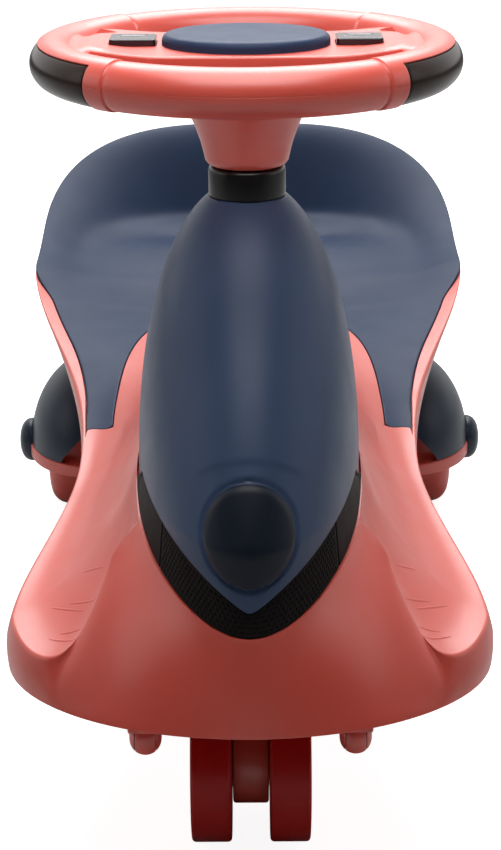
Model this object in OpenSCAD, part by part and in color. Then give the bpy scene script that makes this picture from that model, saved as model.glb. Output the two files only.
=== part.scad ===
// Twist ride-on car: the rider swings the steering wheel and the caster under
// the column drives the car. X is across, the front faces -Y, Z is up, the
// floor is at zero.

/* [Body] */
// Length from the bumper to the backrest
body_length = 800; // [740:1:860]
// Width across the two footrests
bumper_width = 266; // [240:1:290]
// Depth of the bumper's bow
bumper_bow = 100; // [85:1:115]
// Width at the waist
waist_width = 212; // [196:1:230]
// Distance of the waist behind the bumper
waist_setback = 285; // [265:1:305]
// Width at the seat
seat_width = 320; // [300:1:340]
// Distance of the seat's widest place ahead of the backrest
seat_lead = 210; // [190:1:230]
// Depth of the round backrest
rear_round = 160; // [140:1:180]
// Width of the lower edge under the seat
skirt_width = 216; // [206:1:222]
// How far the rear wall leans in at its foot
rear_lean = 28; // [15:1:40]
// Height of the lower edge above the floor
skirt_h = 98; // [97:0.5:106]
// Height of the footrests' outer edge
foot_h = 123; // [117:1:130]
// Height of the body's edge beside the seat
seat_edge_h = 194.5; // [188:0.5:202]
// Height of the backrest's rim
rim_h = 258; // [245:1:275]
// Height of the seat pan
pan_h = 170; // [164:1:176]
// Wall thickness of the body
body_wall = 3; // [2.4:0.1:3.6]

/* [Hood] */
// Distance of the steering column behind the bumper
column_setback = 170; // [166:1:176]
// Width of the hood
hood_width = 124; // [116:1:130]
// How far the nose reaches in front of the column
hood_reach = 155; // [148:1:160]
// How far the hood reaches behind the column
hood_back = 70; // [62:1:76]
// Height of the hood's widest place
hood_waist_h = 195; // [190:1:200]
// Height of the hood's neck
neck_h = 342; // [334:1:350]
// Height of the hood's lip at the nose
lip_h = 161; // [158:0.5:164]
// Rise of the hood's lip along its sides
lip_rise = 40; // [34:1:44]
// Height of the grille band's foot at the nose
band_h = 147; // [144:0.5:150]
// Rise of the grille band's foot along the sides
band_rise = 43; // [38:1:46]
// Height of the ridge beside the hood
ridge_h = 191; // [188.5:0.5:194]
// Height of the column's seat inside the hood
plateau_h = 150; // [144:1:156]
// Wall thickness of the hood and the seat
trim_wall = 3; // [2.4:0.1:3.6]
// Width of the nose disc
disc_width = 47; // [40:1:52]
// Height of the nose disc
disc_height = 55; // [48:1:60]
// How far the nose disc stands proud
disc_proud = 4; // [3:0.5:6]

/* [Seat] */
// Distance of the tongue tips behind the bumper
tongue_setback = 308; // [300:1:316]
// Width between the tongues
tongue_gap = 174; // [166:1:180]
// Distance ahead of the backrest at which the tongues meet
notch_lead = 267; // [250:1:285]
// Width of the body's lip outside the seat
seat_band = 5; // [4:0.5:7]

/* [Steering] */
// Height of the steering wheel's rim above the column collar
wheel_rise = 56.9; // [50:0.1:64]
// Diameter of the steering wheel
wheel_diameter = 231.4; // [222:0.2:244]
// Thickness of the rim
rim_thickness = 25.4; // [23:0.2:28]
// Angle that each grip covers
grip_angle = 90; // [80:1:96]
// Width of the hub pad
pad_width = 90; // [84:1:96]
// Depth of the hub pad
pad_depth = 74; // [66:1:78]
// Diameter of the steering shaft
shaft_d = 20; // [18:0.5:22]
// Diameter of the column collar
collar_d = 42; // [40:0.5:46]
// Travel of each button
button_travel = 1.6; // [1.2:0.1:2]

/* [Caster] */
// Distance of the front wheels in front of the column
caster_lead = 90; // [84:1:94]
// Diameter of a front wheel
front_wheel_d = 94; // [88:1:95]
// Width of a front wheel
front_wheel_w = 22; // [19:0.5:24]
// Width of the fork between the wheels
fork_w = 20; // [17:0.5:24]
// Diameter of the front axle
front_axle_d = 8; // [7:0.5:10]

/* [Rear axle] */
// Distance of the rear axle ahead of the backrest
axle_lead = 205; // [195:1:215]
// Diameter of a rear wheel
rear_wheel_d = 100; // [94:1:102]
// Width of a rear wheel's tread
rear_wheel_w = 35; // [32:0.5:36]
// Diameter of the rear axle
rear_axle_d = 10; // [8:0.5:11]
// Radius of the fender dome
fender_r = 72; // [69:0.5:76]
// Width of the fender dome
fender_w = 51; // [49:0.5:54]
// Diameter of the axle cap
cap_d = 36; // [30:0.5:38]
// How far the axle cap stands proud of the fender
cap_proud = 9.5; // [9:0.1:11]

/* [Rollers] */
// Distance between the two rollers
roller_spread = 110; // [104:1:116]
// Distance of the rollers behind the bumper's edge
roller_setback = 30; // [28:0.5:33]
// Diameter of a roller
roller_d = 22; // [20:0.5:24]
// Width of a roller
roller_w = 10.5; // [9:0.5:13]

/* [Fits] */
// Gap between pieces that lie against each other
seat_gap = 0.3; // [0.2:0.05:0.45]
// Radial clearance of a turning fit
run_gap = 0.05; // [0.03:0.01:0.08]

/* [Hidden] */
$fn = 96;

coral = "#e27f74";
navy = "#3b4a5e";
black = "#1f1a1a";
dark_red = "#8c3a35";
steel = "#b8bcc0";
nylon = "#e8e6df";
circuit_green = "#2f6b45";

// Overrun of every cut
cut = 1;
// Points closer than this in a row are one point
weld = 0.001;
full_turn = 360;

// Places along the car
front_y = -body_length / 2;
rear_y = body_length / 2;
bow_y = front_y + bumper_bow;
waist_y = front_y + waist_setback;
seat_y = rear_y - seat_lead;
round_y = rear_y - rear_round;
steer_y = front_y + column_setback;
caster_y = steer_y - caster_lead;
axle_y = rear_y - axle_lead;
tip_y = front_y + tongue_setback;
notch_end_y = rear_y - notch_lead;
hood_rear_y = steer_y + hood_back;

// Half widths
bumper_half = bumper_width / 2;
waist_half = waist_width / 2;
seat_half = seat_width / 2;
skirt_half = skirt_width / 2;
hood_half = hood_width / 2;
notch_half = tongue_gap / 2;
disc_half = disc_width / 2;

function mix(a, b, t) = a + (b - a) * t;
function clamp(t) = min(1, max(0, t));
function smooth(t) = let (u = clamp(t)) u * u * (3 - 2 * u);
function part_way(v, a, b) = clamp((v - a) / (b - a));
function lift(point, rise) = [point[0], point[1], point[2] + rise];

// Hood: egg-shaped rings about the column

// Height above the neck at which the egg would close
egg_over = 8;
// Wall left round the column at the neck
neck_wall = 3.8;
// Walls of the bush and the sleeve round the steering shaft
bush_wall = 3;
sleeve_wall = 4;
bush_r = shaft_d / 2 + bush_wall;
sleeve_r = bush_r + sleeve_wall;
// Bulge of the egg's side profile and how it swells towards the nose
egg_power = 2.2;
nose_power = 0.8;
// How the lip and the band's foot climb from the nose to the sides
lip_power = 0.9;
band_power = 1.7;
// Angles at which the lip starts and ends its drop behind the ridge
lip_drop_from = 65;
lip_drop_to = 84;
// Angles at which the prow and the grille band end
prow_angle = 67.5;
band_angle = 75;
// Angle over which the band's foot climbs to the hood's ledge
band_blend = 9;
// How far the ridge and the band's foot stand outside the hood
prow_flare = 3;
// Depth of the hood's edge below the ridge
ridge_step = 4.8;
ledge_h = ridge_h - ridge_step;

// The column's bush and collar fill the neck
neck_r = sleeve_r + seat_gap;
collar_r = max(collar_d / 2, neck_r + neck_wall);

function egg_t(z) = clamp((z - hood_waist_h) / (neck_h + egg_over - hood_waist_h));
function egg_half(z) = max(collar_r, hood_half * pow(1 - pow(egg_t(z), 2), 1 / egg_power));
function nose_share(z) = pow(1 - part_way(z, hood_waist_h, neck_h), nose_power);
function egg_reach(z, ahead) =
    egg_half(z) * mix(1, (ahead ? hood_reach : hood_back) / hood_half, nose_share(z));
function egg_point(a, z, out) = [(egg_half(z) + out) * sin(a),
    steer_y - (egg_reach(z, cos(a) > 0) + out) * cos(a), z];
function lip_height(a) = cos(a) < 0 ? ledge_h + seat_gap :
    mix(lip_h + lip_rise * pow(abs(sin(a)), lip_power), ledge_h + seat_gap,
        smooth(part_way(abs(sin(a)), sin(lip_drop_from), sin(lip_drop_to))));
function prow_line(a) = band_h + band_rise * pow(abs(sin(a)), band_power);
function band_foot(a) = seat_gap
    + mix(prow_line(a), ledge_h, smooth(part_way(abs(a), prow_angle - band_blend, prow_angle)));

// Grids of points become closed solids

// Index of the first point of a row that lies where point k does
function first_at(row, k) = [for (m = [0:k]) if (norm(row[m] - row[k]) < weld) m][0];
function row_index(rows, base, j) =
    [for (k = [0:len(rows[j]) - 1]) base + j * len(rows[j]) + first_at(rows[j], k)];
function grid_index(rows, base) = [for (j = [0:len(rows) - 1]) row_index(rows, base, j)];
function quad(a, b, c, d) = [[a, b, c], [a, c, d]];
function whole(faces) = [for (f = faces) if (f[0] != f[1] && f[1] != f[2] && f[0] != f[2]) f];
function other_quad(a, b, c, d) = [[a, b, d], [b, c, d]];
function cell(idx, j, k, other) = other
    ? other_quad(idx[j][k], idx[j][k + 1], idx[j + 1][k + 1], idx[j + 1][k])
    : quad(idx[j][k], idx[j][k + 1], idx[j + 1][k + 1], idx[j + 1][k]);
// The far half of a mirrored row splits its quads the other way, so both sides match
function sheet(idx, spans) = [for (j = [0:len(idx) - 2], k = spans) each cell(idx, j, k, false)];
function twin_sheet(idx, spans) = [for (j = [0:len(idx) - 2], k = spans)
    each cell(idx, j, k, 2 * k + 1 > len(idx[j]) - 1)];
function back(faces) = [for (f = faces) [f[2], f[1], f[0]]];
function side_wall(top, under, k, rows) = [for (j = rows)
    each quad(top[j][k], top[j + 1][k], under[j + 1][k], under[j][k])];
function end_wall(top, under, j, spans) = [for (k = spans)
    each quad(top[j][k + 1], top[j][k], under[j][k], under[j][k + 1])];
function flat_list(rows) = [for (r = rows, p = r) p];
function mirrored(half) =
    concat(half, [for (k = [len(half) - 2:-1:0]) [-half[k][0], half[k][1], half[k][2]]]);
function turned(row) = [for (p = row) [-p[0], p[1], p[2]]];

// Body: rows of points from the lower edge over the top to the middle

// Draft of the footrest's edge, as a share of the bumper's half width
lip_inset_share = 0.985;
// The footrest's lip from the hood's flank round to the side: its place along
// the bumper's quarter bow, across, ahead of the bow's root, and its height
lip_shares = [[0.43, 0.545, 0.04, 0.66], [0.485, 0.604, 0.25, 0.383], [0.54, 0.665, 0.43, 0.176],
    [0.60, 0.732, 0.54, 0.064], [0.67, 0.80, 0.545, 0.012], [0.76, 0.88, 0.435, -0.008],
    [0.88, 0.947, 0.23, 0], [1, lip_inset_share, 0, 0]];
// Share of the quarter bow below the prow
prow_bow_share = 0.36;
prow_rows = 10;
// How the footrest climbs to the ridge and the edge climbs to the backrest
well_power = 2.2;
edge_power = 1.25;
rim_power = 1.7;
bucket_power = 2.5;
waist_power = 1.15;
// Share of the round backrest's superellipse
round_share = 2 / 3;
// Widths of the deck's edge, of the ledge and of the slope to the basin
ledge_step = 1;
ledge_w = 10;
basin_slope = 12;
// Bulge of the side walls
wall_bulge = 2;
wall_shares = [0.35, 0.7];
// Length over which the seat's recess begins at the tongue tip
tip_step = 0.6;
// Depth of the seat's recess
recess = trim_wall + seat_gap;
// Where the seat starts and ends to lap over the body's edge, ahead of its widest place
lap_from = 70;
lap_to = 5;
lap_from_y = seat_y - lap_from;
lap_to_y = seat_y - lap_to;
// Rise of the seat pan towards the backrest, and where the pan ends ahead of it
pan_rise = 26;
pan_end = 70;
pan_end_y = rear_y - pan_end;
// Where the basin's floor starts to climb behind the column, and where it ends
basin_floor = 36;
basin_floor_y = steer_y + basin_floor;
basin_end_y = hood_rear_y + prow_flare;
// Points across the seat's recess, and the recess's place on the plain footrests
well_steps = 4;
plain_out_share = 0.12;
plain_in_share = 0.88;

function edge_half(y) = y < waist_y
    ? mix(bumper_half * lip_inset_share, waist_half, smooth(part_way(y, bow_y, waist_y)))
    : mix(waist_half, seat_half, smooth(pow(part_way(y, waist_y, seat_y), waist_power)));
function foot_half(y) = y < waist_y
    ? mix(bumper_half, waist_half, smooth(part_way(y, bow_y, waist_y)))
    : mix(waist_half, skirt_half, smooth(part_way(y, waist_y, seat_y)));
function edge_height(y) = y < seat_y
    ? mix(foot_h, seat_edge_h, pow(part_way(y, bow_y, seat_y), edge_power))
    : mix(seat_edge_h, rim_h, pow(part_way(y, seat_y, rear_y), rim_power));
function notch_x(y) = y >= notch_end_y ? 0
    : notch_half * pow(1 - pow(part_way(y, tip_y, notch_end_y), 3), 1 / 3);
function ridge_x(y) = y >= notch_end_y ? 0
    : (hood_half + prow_flare - ledge_step) * sqrt(1 - pow(part_way(y, hood_rear_y, notch_end_y), 2));
function ridge_height(y) = mix(ridge_h, pan_h, smooth(part_way(y, hood_rear_y, notch_end_y)));
function lip_left(y) = 1 - smooth(part_way(y, lap_from_y, lap_to_y));

// One half row: lower edge, wall, rim, seat recess, ridge, hood ledge, basin, middle.
// t_out and t_in place the seat's edges between the rim c and the ridge h.
function bowl_z(c, h, pan, blend, t) = mix(c[2] + (h[2] - c[2]) * pow(t, well_power),
    pan + (c[2] - pan) * pow(1 - t, bucket_power), blend);
function bowl_point(c, h, pan, blend, t) =
    [mix(c[0], h[0], t), mix(c[1], h[1], t), bowl_z(c, h, pan, blend, t)];
function half_row(b, c, h, inner, n, pan, blend, t_out, t_in, drop, lip, lip_in) = concat(
    [b],
    [for (s = wall_shares) mix(b, lift(c, lip - drop), s) - wall_bulge * n * sin(180 * s)],
    [lift(c, lip - drop), lift(bowl_point(c, h, pan, blend, t_out), lip - drop)],
    [for (i = [0:well_steps])
        lift(bowl_point(c, h, pan, blend, mix(t_out, t_in, i / well_steps)), -drop)],
    [lift(bowl_point(c, h, pan, blend, t_in), lip_in - drop), lift(h, lip_in - drop)],
    [for (p = inner) lift(p, lip_in - drop)]);

// Deck edge, hood ledge, basin edge and middle of a row: x is the deck's half width,
// ys place the three along the car, ledge and deep are the ledge's and basin's heights
function basin(x, z, ys, ledge, deep) =
    [[x, ys[0], z], [max(x - ledge_step, 0), ys[0], ledge], [max(x - ledge_w, 0), ys[1], ledge],
     [max(x - ledge_w - basin_slope, 0), ys[2], deep], [0, ys[2], deep]];

// Rows of the prow under the grille band
prow_half_rows = [for (i = [0:prow_rows - 1]) let (s = i / (prow_rows - 1),
        a = prow_angle * s, e = 90 * prow_bow_share * s, n = [-sin(e), cos(e), 0],
        b = [bumper_half * sin(e), bow_y - bumper_bow * cos(e), skirt_h],
        c = [(hood_half + prow_flare) * sin(a),
            steer_y - (hood_reach + prow_flare) * cos(a), prow_line(a)],
        l = [(hood_half + prow_flare - ledge_w) * sin(a),
            steer_y - (hood_reach + prow_flare - ledge_w) * cos(a), prow_line(a)],
        p = [(hood_half - ledge_w - basin_slope) * sin(a),
            steer_y - (hood_reach - ledge_w - basin_slope) * cos(a), plateau_h])
    [n, half_row(b, c, c, [c, c, l, p, [0, p[1], plateau_h]], n, 0, 0, 0, 0, 0, 0, 0)]];

// Rows that fan round each footrest's lip
lip_rows = len(lip_shares);
flank_from_y = steer_y - (hood_reach + prow_flare) * cos(prow_angle);
// How far ahead of the column the flank's rows turn straight across
flank_end = 8;
flank_to_y = steer_y - flank_end;
ledge_from_y = steer_y - (hood_reach + prow_flare - ledge_w) * cos(prow_angle);
basin_from_y = steer_y - (hood_reach - ledge_w - basin_slope) * cos(prow_angle);
lip_top_h = prow_line(prow_angle);
// Half width of the ridge beside the hood's front
function prow_x(y) =
    (hood_half + prow_flare) * sqrt(1 - pow((y - steer_y) / (hood_reach + prow_flare), 2));
lip_half_rows = [for (i = [0:lip_rows - 1]) let (q = lip_shares[i], e = 90 * q[0],
        n = [-sin(e), cos(e), 0],
        s = (i + 1) / lip_rows, y = mix(flank_from_y, flank_to_y, s),
        b = [bumper_half * sin(e), bow_y - bumper_bow * cos(e), skirt_h],
        c = [bumper_half * q[1], bow_y - bumper_bow * q[2], mix(foot_h, lip_top_h, q[3])],
        h = [prow_x(y) - ledge_step * s, y, mix(lip_top_h, ridge_h, s)])
    [n, half_row(b, c, h, basin(h[0], h[2], [y, mix(ledge_from_y, flank_to_y, s),
        mix(basin_from_y, flank_to_y, s)], ledge_h, plateau_h), n, 0, 0,
        plain_out_share, plain_in_share, 0, 0, 0)]];

// Rows along the flanks, the tongues and the seat
// Shares of the hood's rear half at which rows cross it
flank_shares = [0.12, 0.32, 0.52, 0.7, 0.84, 0.94, 0.985, 1];
deck_shares = [0.34, 0.67, 1];
flank_rows_y = concat([for (s = flank_shares) mix(bow_y, basin_end_y, s)],
    [for (s = deck_shares) mix(basin_end_y, tip_y, s)]);
tongue_shares = [0.1, 0.22, 0.35, 0.48, 0.61, 0.73, 0.84, 0.93, 1];
tongue_rows_y = concat([tip_y + tip_step], [for (s = tongue_shares) mix(tip_y, notch_end_y, s)]);
pan_shares = [0.34, 0.67, 1];
pan_rows_y = [for (s = pan_shares) mix(notch_end_y, round_y, s)];
round_angles = [20, 38, 52, 64, 74, 83, 90];

function ridge_y(y) = y < basin_end_y
    ? mix(flank_to_y, basin_end_y, part_way(y, bow_y, basin_end_y)) : y;
function deck_x(y) = y < steer_y ? ridge_x(y)
    : (hood_half + prow_flare - ledge_step) * sqrt(1 - pow(part_way(y, steer_y, basin_end_y), 2));
function basin_at(y) = let (x = deck_x(y), z = ridge_height(y), ledge = y < basin_end_y ? ledge_h : z)
    basin(x, z, [y, y, y], ledge, mix(plateau_h, ledge, smooth(part_way(y, basin_floor_y, basin_end_y))));
function side_row(y, seated) = let (n = [-1, 0, 0],
        c = [edge_half(y), y, edge_height(y)], b = [foot_half(y), y, skirt_h],
        hy = ridge_y(y), blend = smooth(part_way(y, waist_y, seat_y)),
        h = [ridge_x(hy), hy, ridge_height(hy)],
        t_out = seated ? seat_band * lip_left(y) / (c[0] - h[0]) : plain_out_share,
        t_in = seated ? (c[0] - notch_x(y)) / (c[0] - h[0]) : plain_in_share,
        drop = seated ? recess : 0)
    [n, half_row(b, c, h, basin_at(hy), n, pan_h, blend, t_out, t_in,
        drop, drop * lip_left(y), y < notch_end_y ? drop : 0)];
function round_row(a) = let (n = [-cos(a), -sin(a), 0],
        sx = pow(max(cos(a), 0), round_share), sy = pow(sin(a), round_share),
        c = [seat_half * sx, mix(round_y, rear_y, sy), edge_height(mix(round_y, rear_y, sy))],
        b = [skirt_half * sx, mix(round_y, rear_y - rear_lean, sy), skirt_h],
        s = [0, mix(round_y, pan_end_y, a / 90), pan_h + pan_rise * smooth(a / 90)])
    [n, half_row(b, c, s, [s, s, s, s, s], n, s[2], 1, 0, 1, recess, 0, 0)];

body_half_rows = concat(prow_half_rows, lip_half_rows,
    [for (y = flank_rows_y) side_row(y, false)], [for (y = tongue_rows_y) side_row(y, true)],
    [for (y = pan_rows_y) side_row(y, true)], [for (a = round_angles) round_row(a)]);

// Inner face of a half row: the walls move inwards, the top moves down, and the
// corner under the rim is left thicker. It passes straight under the seat's steps.
rim_k = 3;
outer_step_k = 4;
inner_step_k = outer_step_k + well_steps + 2;
rim_extra = 6;
rear_rim_extra = 9;
rim_reach = 20;
rim_keep = 4;
wall_steps = concat([0], wall_shares);
function from_rim(p, c) = norm([p[0] - c[0], p[1] - c[1]]);
// How far the wall runs in for each unit that it goes down
function lean(b, c, n) = max(0, (b - c) * n) / (c[2] - b[2]);
function extra_at(n) = n[1] < 0 ? rear_rim_extra : rim_extra;
function depth_at(p, c, n) = body_wall + extra_at(n) * max(0, 1 - from_rim(p, c) / rim_reach);
function under_top(p, c, n, slope, keep) = let (depth = depth_at(p, c, n))
    lift(p + n * max(0, keep + slope * (c[2] - p[2] + depth) - from_rim(p, c)), -depth);
function behind_wall(p, n, slope, step) =
    lift(p + n * (body_wall + slope * extra_at(n) * step), -extra_at(n) * step);
function level_k(k) = k == outer_step_k ? k + 1 : k == inner_step_k ? k - 1 : k;
function inner_half(n, half) = let (c = half[rim_k], slope = lean(half[0], c, n))
    [for (k = [0:len(half) - 1]) k < rim_k ? behind_wall(half[k], n, slope, wall_steps[k])
        : under_top(half[level_k(k)], c, n, slope, body_wall + (k > rim_k ? rim_keep * slope : 0))];
function not_past_middle(half) = [for (p = half) [max(p[0], 0), p[1], p[2]]];

outer_rows = [for (r = body_half_rows) mirrored(r[1])];
inner_rows = [for (r = body_half_rows) mirrored(not_past_middle(inner_half(r[0], r[1])))];

module body_skin() {
    last = len(outer_rows[0]) - 1;
    outside = grid_index(outer_rows, 0);
    inside = grid_index(inner_rows, len(outer_rows) * (last + 1));
    walls = [0:len(outer_rows) - 2];
    polyhedron(concat(flat_list(outer_rows), flat_list(inner_rows)),
        whole(concat(twin_sheet(outside, [0:last - 1]), back(twin_sheet(inside, [0:last - 1])),
            side_wall(outside, inside, 0, walls), back(side_wall(outside, inside, last, walls)))),
        convexity = 8);
}

module body_shell() {
    color(coral) difference() {
        body_skin();
        translate([0, steer_y, skirt_h]) cylinder(r = sleeve_r + seat_gap, h = ridge_h - skirt_h);
    }
}

// Seat: a panel of even thickness that lies in the body's recess

function seat_half_row(y) = let (c = [edge_half(y), y, edge_height(y)], hy = ridge_y(y),
        blend = smooth(part_way(y, waist_y, seat_y)), h = [ridge_x(hy), hy, ridge_height(hy)],
        run = c[0] - h[0], edge_gap = seat_gap * lip_left(y),
        t_out = (seat_band * lip_left(y) + edge_gap) / run,
        t_in = (c[0] - notch_x(y) - (notch_x(y) > 0 ? seat_gap : 0)) / run)
    [for (i = [0:well_steps]) bowl_point(c, h, pan_h, blend, mix(t_out, t_in, i / well_steps))];
function seat_round_row(a) = let (
        sx = pow(max(cos(a), 0), round_share), sy = pow(sin(a), round_share),
        c = [seat_half * sx, mix(round_y, rear_y, sy), edge_height(mix(round_y, rear_y, sy))],
        s = [0, mix(round_y, pan_end_y, a / 90), pan_h + pan_rise * smooth(a / 90)])
    [for (i = [0:well_steps]) bowl_point(c, s, s[2], 1, i / well_steps)];
seat_rows_y = concat([tip_y + tip_step + seat_gap], [for (s = tongue_shares) mix(tip_y, notch_end_y, s)],
    pan_rows_y);
notch_rows = len(tongue_shares);
seat_half_rows = concat([for (y = seat_rows_y) seat_half_row(y)],
    [for (a = round_angles) seat_round_row(a)]);

module seat_panel() {
    top_rows = [for (h = seat_half_rows) concat(h, [for (k = [len(h) - 1:-1:0]) turned(h)[k]])];
    under_rows = [for (r = top_rows) [for (p = r) lift(p, -trim_wall)]];
    top = grid_index(top_rows, 0);
    under = grid_index(under_rows, len(top_rows) * len(top_rows[0]));
    last = len(top_rows[0]) - 1;
    inner = (last - 1) / 2;
    spans = [for (k = [0:last - 1]) if (k != inner) k];
    rows = [0:len(top_rows) - 2];
    notch = [0:notch_rows - 1];
    color(navy) polyhedron(concat(flat_list(top_rows), flat_list(under_rows)),
        whole(concat(twin_sheet(top, spans), back(twin_sheet(under, spans)),
            side_wall(top, under, 0, rows), back(side_wall(top, under, last, rows)),
            back(side_wall(top, under, inner, notch)), side_wall(top, under, inner + 1, notch),
            end_wall(top, under, 0, spans))), convexity = 6);
}

// Hood, grille band and nose disc follow the same egg

hood_sides = 48;
hood_levels = 11;
hood_angles = [for (i = [0:hood_sides]) full_turn * i / hood_sides];
function hood_z(a, s) = mix(lip_height(a), neck_h, s);
function hood_inner(a, s) = let (z = hood_z(a, s), p = egg_point(a, z, -trim_wall),
        r = norm([p[0], p[1] - steer_y]))
    r > neck_r ? p : [neck_r * sin(a), steer_y - neck_r * cos(a), z];

module console_hood() {
    shares = [for (i = [0:hood_levels]) sin(90 * i / hood_levels)];
    outer = [for (a = hood_angles) [for (s = shares) egg_point(a, hood_z(a, s), 0)]];
    inner = [for (a = hood_angles) [for (s = shares) hood_inner(a, s)]];
    columns = len(shares);
    loop = [for (i = [0:hood_sides]) i % hood_sides];
    out_i = [for (i = loop) [for (k = [0:columns - 1]) i * columns + k]];
    in_i = [for (i = loop) [for (k = [0:columns - 1]) (hood_sides + 1 + i) * columns + k]];
    rows = [0:hood_sides - 1];
    color(navy) polyhedron(concat(flat_list(outer), flat_list(inner)),
        whole(concat(sheet(out_i, [0:columns - 2]), back(sheet(in_i, [0:columns - 2])),
            side_wall(out_i, in_i, 0, rows), back(side_wall(out_i, in_i, columns - 1, rows)))),
        convexity = 6);
}

band_steps = 20;
band_levels = 3;
// How far the band lies back under the hood's lip
band_tuck = 1.2;
module grille_band() {
    angles = [for (i = [0:band_steps]) mix(-band_angle, band_angle, i / band_steps)];
    foot = [for (a = angles) egg_point(a, band_foot(a), prow_flare - band_tuck)];
    head = [for (a = angles) egg_point(a, lip_height(a) - seat_gap, -band_tuck)];
    outer = [for (i = [0:band_steps])
        [for (k = [0:band_levels]) mix(foot[i], head[i], k / band_levels)]];
    inner = [for (i = [0:band_steps]) let (a = angles[i], n = [sin(a), -cos(a), 0])
        [for (p = outer[i]) p - trim_wall * n]];
    out_i = grid_index(outer, 0);
    in_i = grid_index(inner, len(outer) * len(outer[0]));
    last = len(outer[0]) - 1;
    spans = [0:last - 1];
    rows = [0:band_steps - 1];
    color(black) polyhedron(concat(flat_list(outer), flat_list(inner)),
        whole(concat(sheet(out_i, spans), back(sheet(in_i, spans)),
            side_wall(out_i, in_i, 0, rows), back(side_wall(out_i, in_i, last, rows)),
            end_wall(out_i, in_i, 0, spans), back(end_wall(out_i, in_i, band_steps, spans)))),
        convexity = 6);
}

disc_sides = 36;
// Height of the disc's middle above the hood's lip
disc_up = 40;
// The disc's face with its ring groove and round edge: shares of the radius and of the height
disc_shares = [[0.4, 1], [0.78, 1], [0.8, 0.75], [0.86, 0.75], [0.88, 1], [0.97, 1], [1, 0.75]];
// Gap behind the disc
disc_gap = 0.4;
function on_nose(x, z, out) = [x, steer_y
    - (egg_reach(z, true) * sqrt(1 - pow(x / egg_half(z), 2))) - out, z];
function disc_point(s, a, out) =
    on_nose(disc_half * s * cos(a), lip_h + disc_up + disc_height / 2 * s * sin(a), out);
module nose_disc() {
    rings = len(disc_shares);
    fronts = [for (s = disc_shares) [for (i = [0:disc_sides - 1])
        disc_point(s[0], full_turn * i / disc_sides, disc_proud * s[1])]];
    backs = [for (s = disc_shares) [for (i = [0:disc_sides - 1])
        disc_point(s[0], full_turn * i / disc_sides, disc_gap)]];
    points = concat(flat_list(fronts), flat_list(backs),
        [disc_point(0, 0, disc_proud), disc_point(0, 0, disc_gap)]);
    far = rings * disc_sides;
    hub = 2 * far;
    around = [for (i = [0:disc_sides - 1]) [i, (i + 1) % disc_sides]];
    color(navy) polyhedron(points, concat(
        [for (q = around) [hub, q[1], q[0]]], [for (q = around) [hub + 1, far + q[0], far + q[1]]],
        [for (r = [0:rings - 2], q = around) let (o = r * disc_sides, m = o + disc_sides)
            each quad(o + q[1], m + q[1], m + q[0], o + q[0])],
        [for (r = [0:rings - 2], q = around) let (o = far + r * disc_sides, m = o + disc_sides)
            each quad(o + q[0], m + q[0], m + q[1], o + q[1])],
        [for (q = around) let (o = (rings - 1) * disc_sides, m = far + o)
            each quad(o + q[1], m + q[1], m + q[0], o + q[0])]), convexity = 4);
}

// Column: a sleeve through the body, a bush at its foot and a collar at its head

bore_r = shaft_d / 2 + run_gap;
// How far the caster's hub reaches up into the body
fork_entry = 20;
fork_top_h = skirt_h + fork_entry;
bush_flange = 3;
bush_flange_lap = 3;
bush_flange_r = sleeve_r + bush_flange_lap;
bush_length = 18;
sleeve_foot_h = fork_top_h + seat_gap + bush_flange;
sleeve_flange_r = 33;
sleeve_flange = 4;
sleeve_hole_ring = 26;
sleeve_hole_r = 2.4;
collar_h = 16.5;
spigot = 16;
cone_foot_h = neck_h + collar_h + 2 * seat_gap;
rim_centre_h = cone_foot_h + wheel_rise;

module on_column(z) { translate([0, steer_y, z]) children(); }

module column_sleeve() {
    color(black) difference() {
        union() {
            on_column(sleeve_foot_h) cylinder(r = sleeve_r, h = neck_h - sleeve_foot_h);
            on_column(plateau_h) cylinder(r = sleeve_flange_r, h = sleeve_flange);
        }
        on_column(sleeve_foot_h - cut) cylinder(r = bush_r, h = neck_h - sleeve_foot_h + 2 * cut);
        for (a = [45:90:315]) on_column(plateau_h - cut)
            rotate(a) translate([sleeve_hole_ring, 0, 0])
                cylinder(r = sleeve_hole_r, h = sleeve_flange + 2 * cut);
    }
}

module lower_bush() {
    color(nylon) on_column(sleeve_foot_h - bush_flange) difference() {
        union() {
            cylinder(r = bush_flange_r, h = bush_flange);
            cylinder(r = bush_r, h = bush_flange + bush_length);
        }
        translate([0, 0, -cut]) cylinder(r = bore_r, h = bush_flange + bush_length + 2 * cut);
    }
}

// Rounding of the collar's head
collar_round = 2;
module column_collar() {
    color(black) on_column(neck_h) rotate_extrude() polygon([[bore_r, -spigot], [bush_r, -spigot],
        [bush_r, seat_gap], [collar_r, seat_gap], [collar_r, collar_h - collar_round],
        [collar_r - collar_round, collar_h], [bore_r, collar_h]]);
}

// Steering wheel: two shells split at the rim's middle, with grips at the sides

rim_r = rim_thickness / 2;
ring_r = wheel_diameter / 2 - rim_r;
// The rim is slimmer at the front and the back than in its side sections
rim_step = 0.6;
slim_r = rim_r - rim_step;
// Angle of the plain collar at each end of a grip
collar_angle = 6.4;
side_angle = grip_angle + 2 * collar_angle;
// Each grip lies in a pocket on the outer side of the rim, between these angles
// of the rim's section, which count up from outwards
grip_low_angle = -110;
grip_high_angle = 50;
// Angles left free along the grips' edges and at their ends
grip_edge_angle = 1.5;
grip_end_angle = 0.6;
grip_wall = 2.4;
grip_sink = 0.7;
core_r = rim_r - grip_wall - seat_gap;
rim_wall = 2.6;
// The hub is a long oval whose tips run into the rim
hub_margin = 6;
hub_tip = 5;
hub_half_w = ring_r - hub_tip;
hub_half_depth = pad_depth / 2 + hub_margin;
hub_top = 8;
hub_foot = 15;
shell_wall = 2.5;
oval_sides = 60;
pad_sink = 2;
pad_proud = 6.5;
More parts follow.
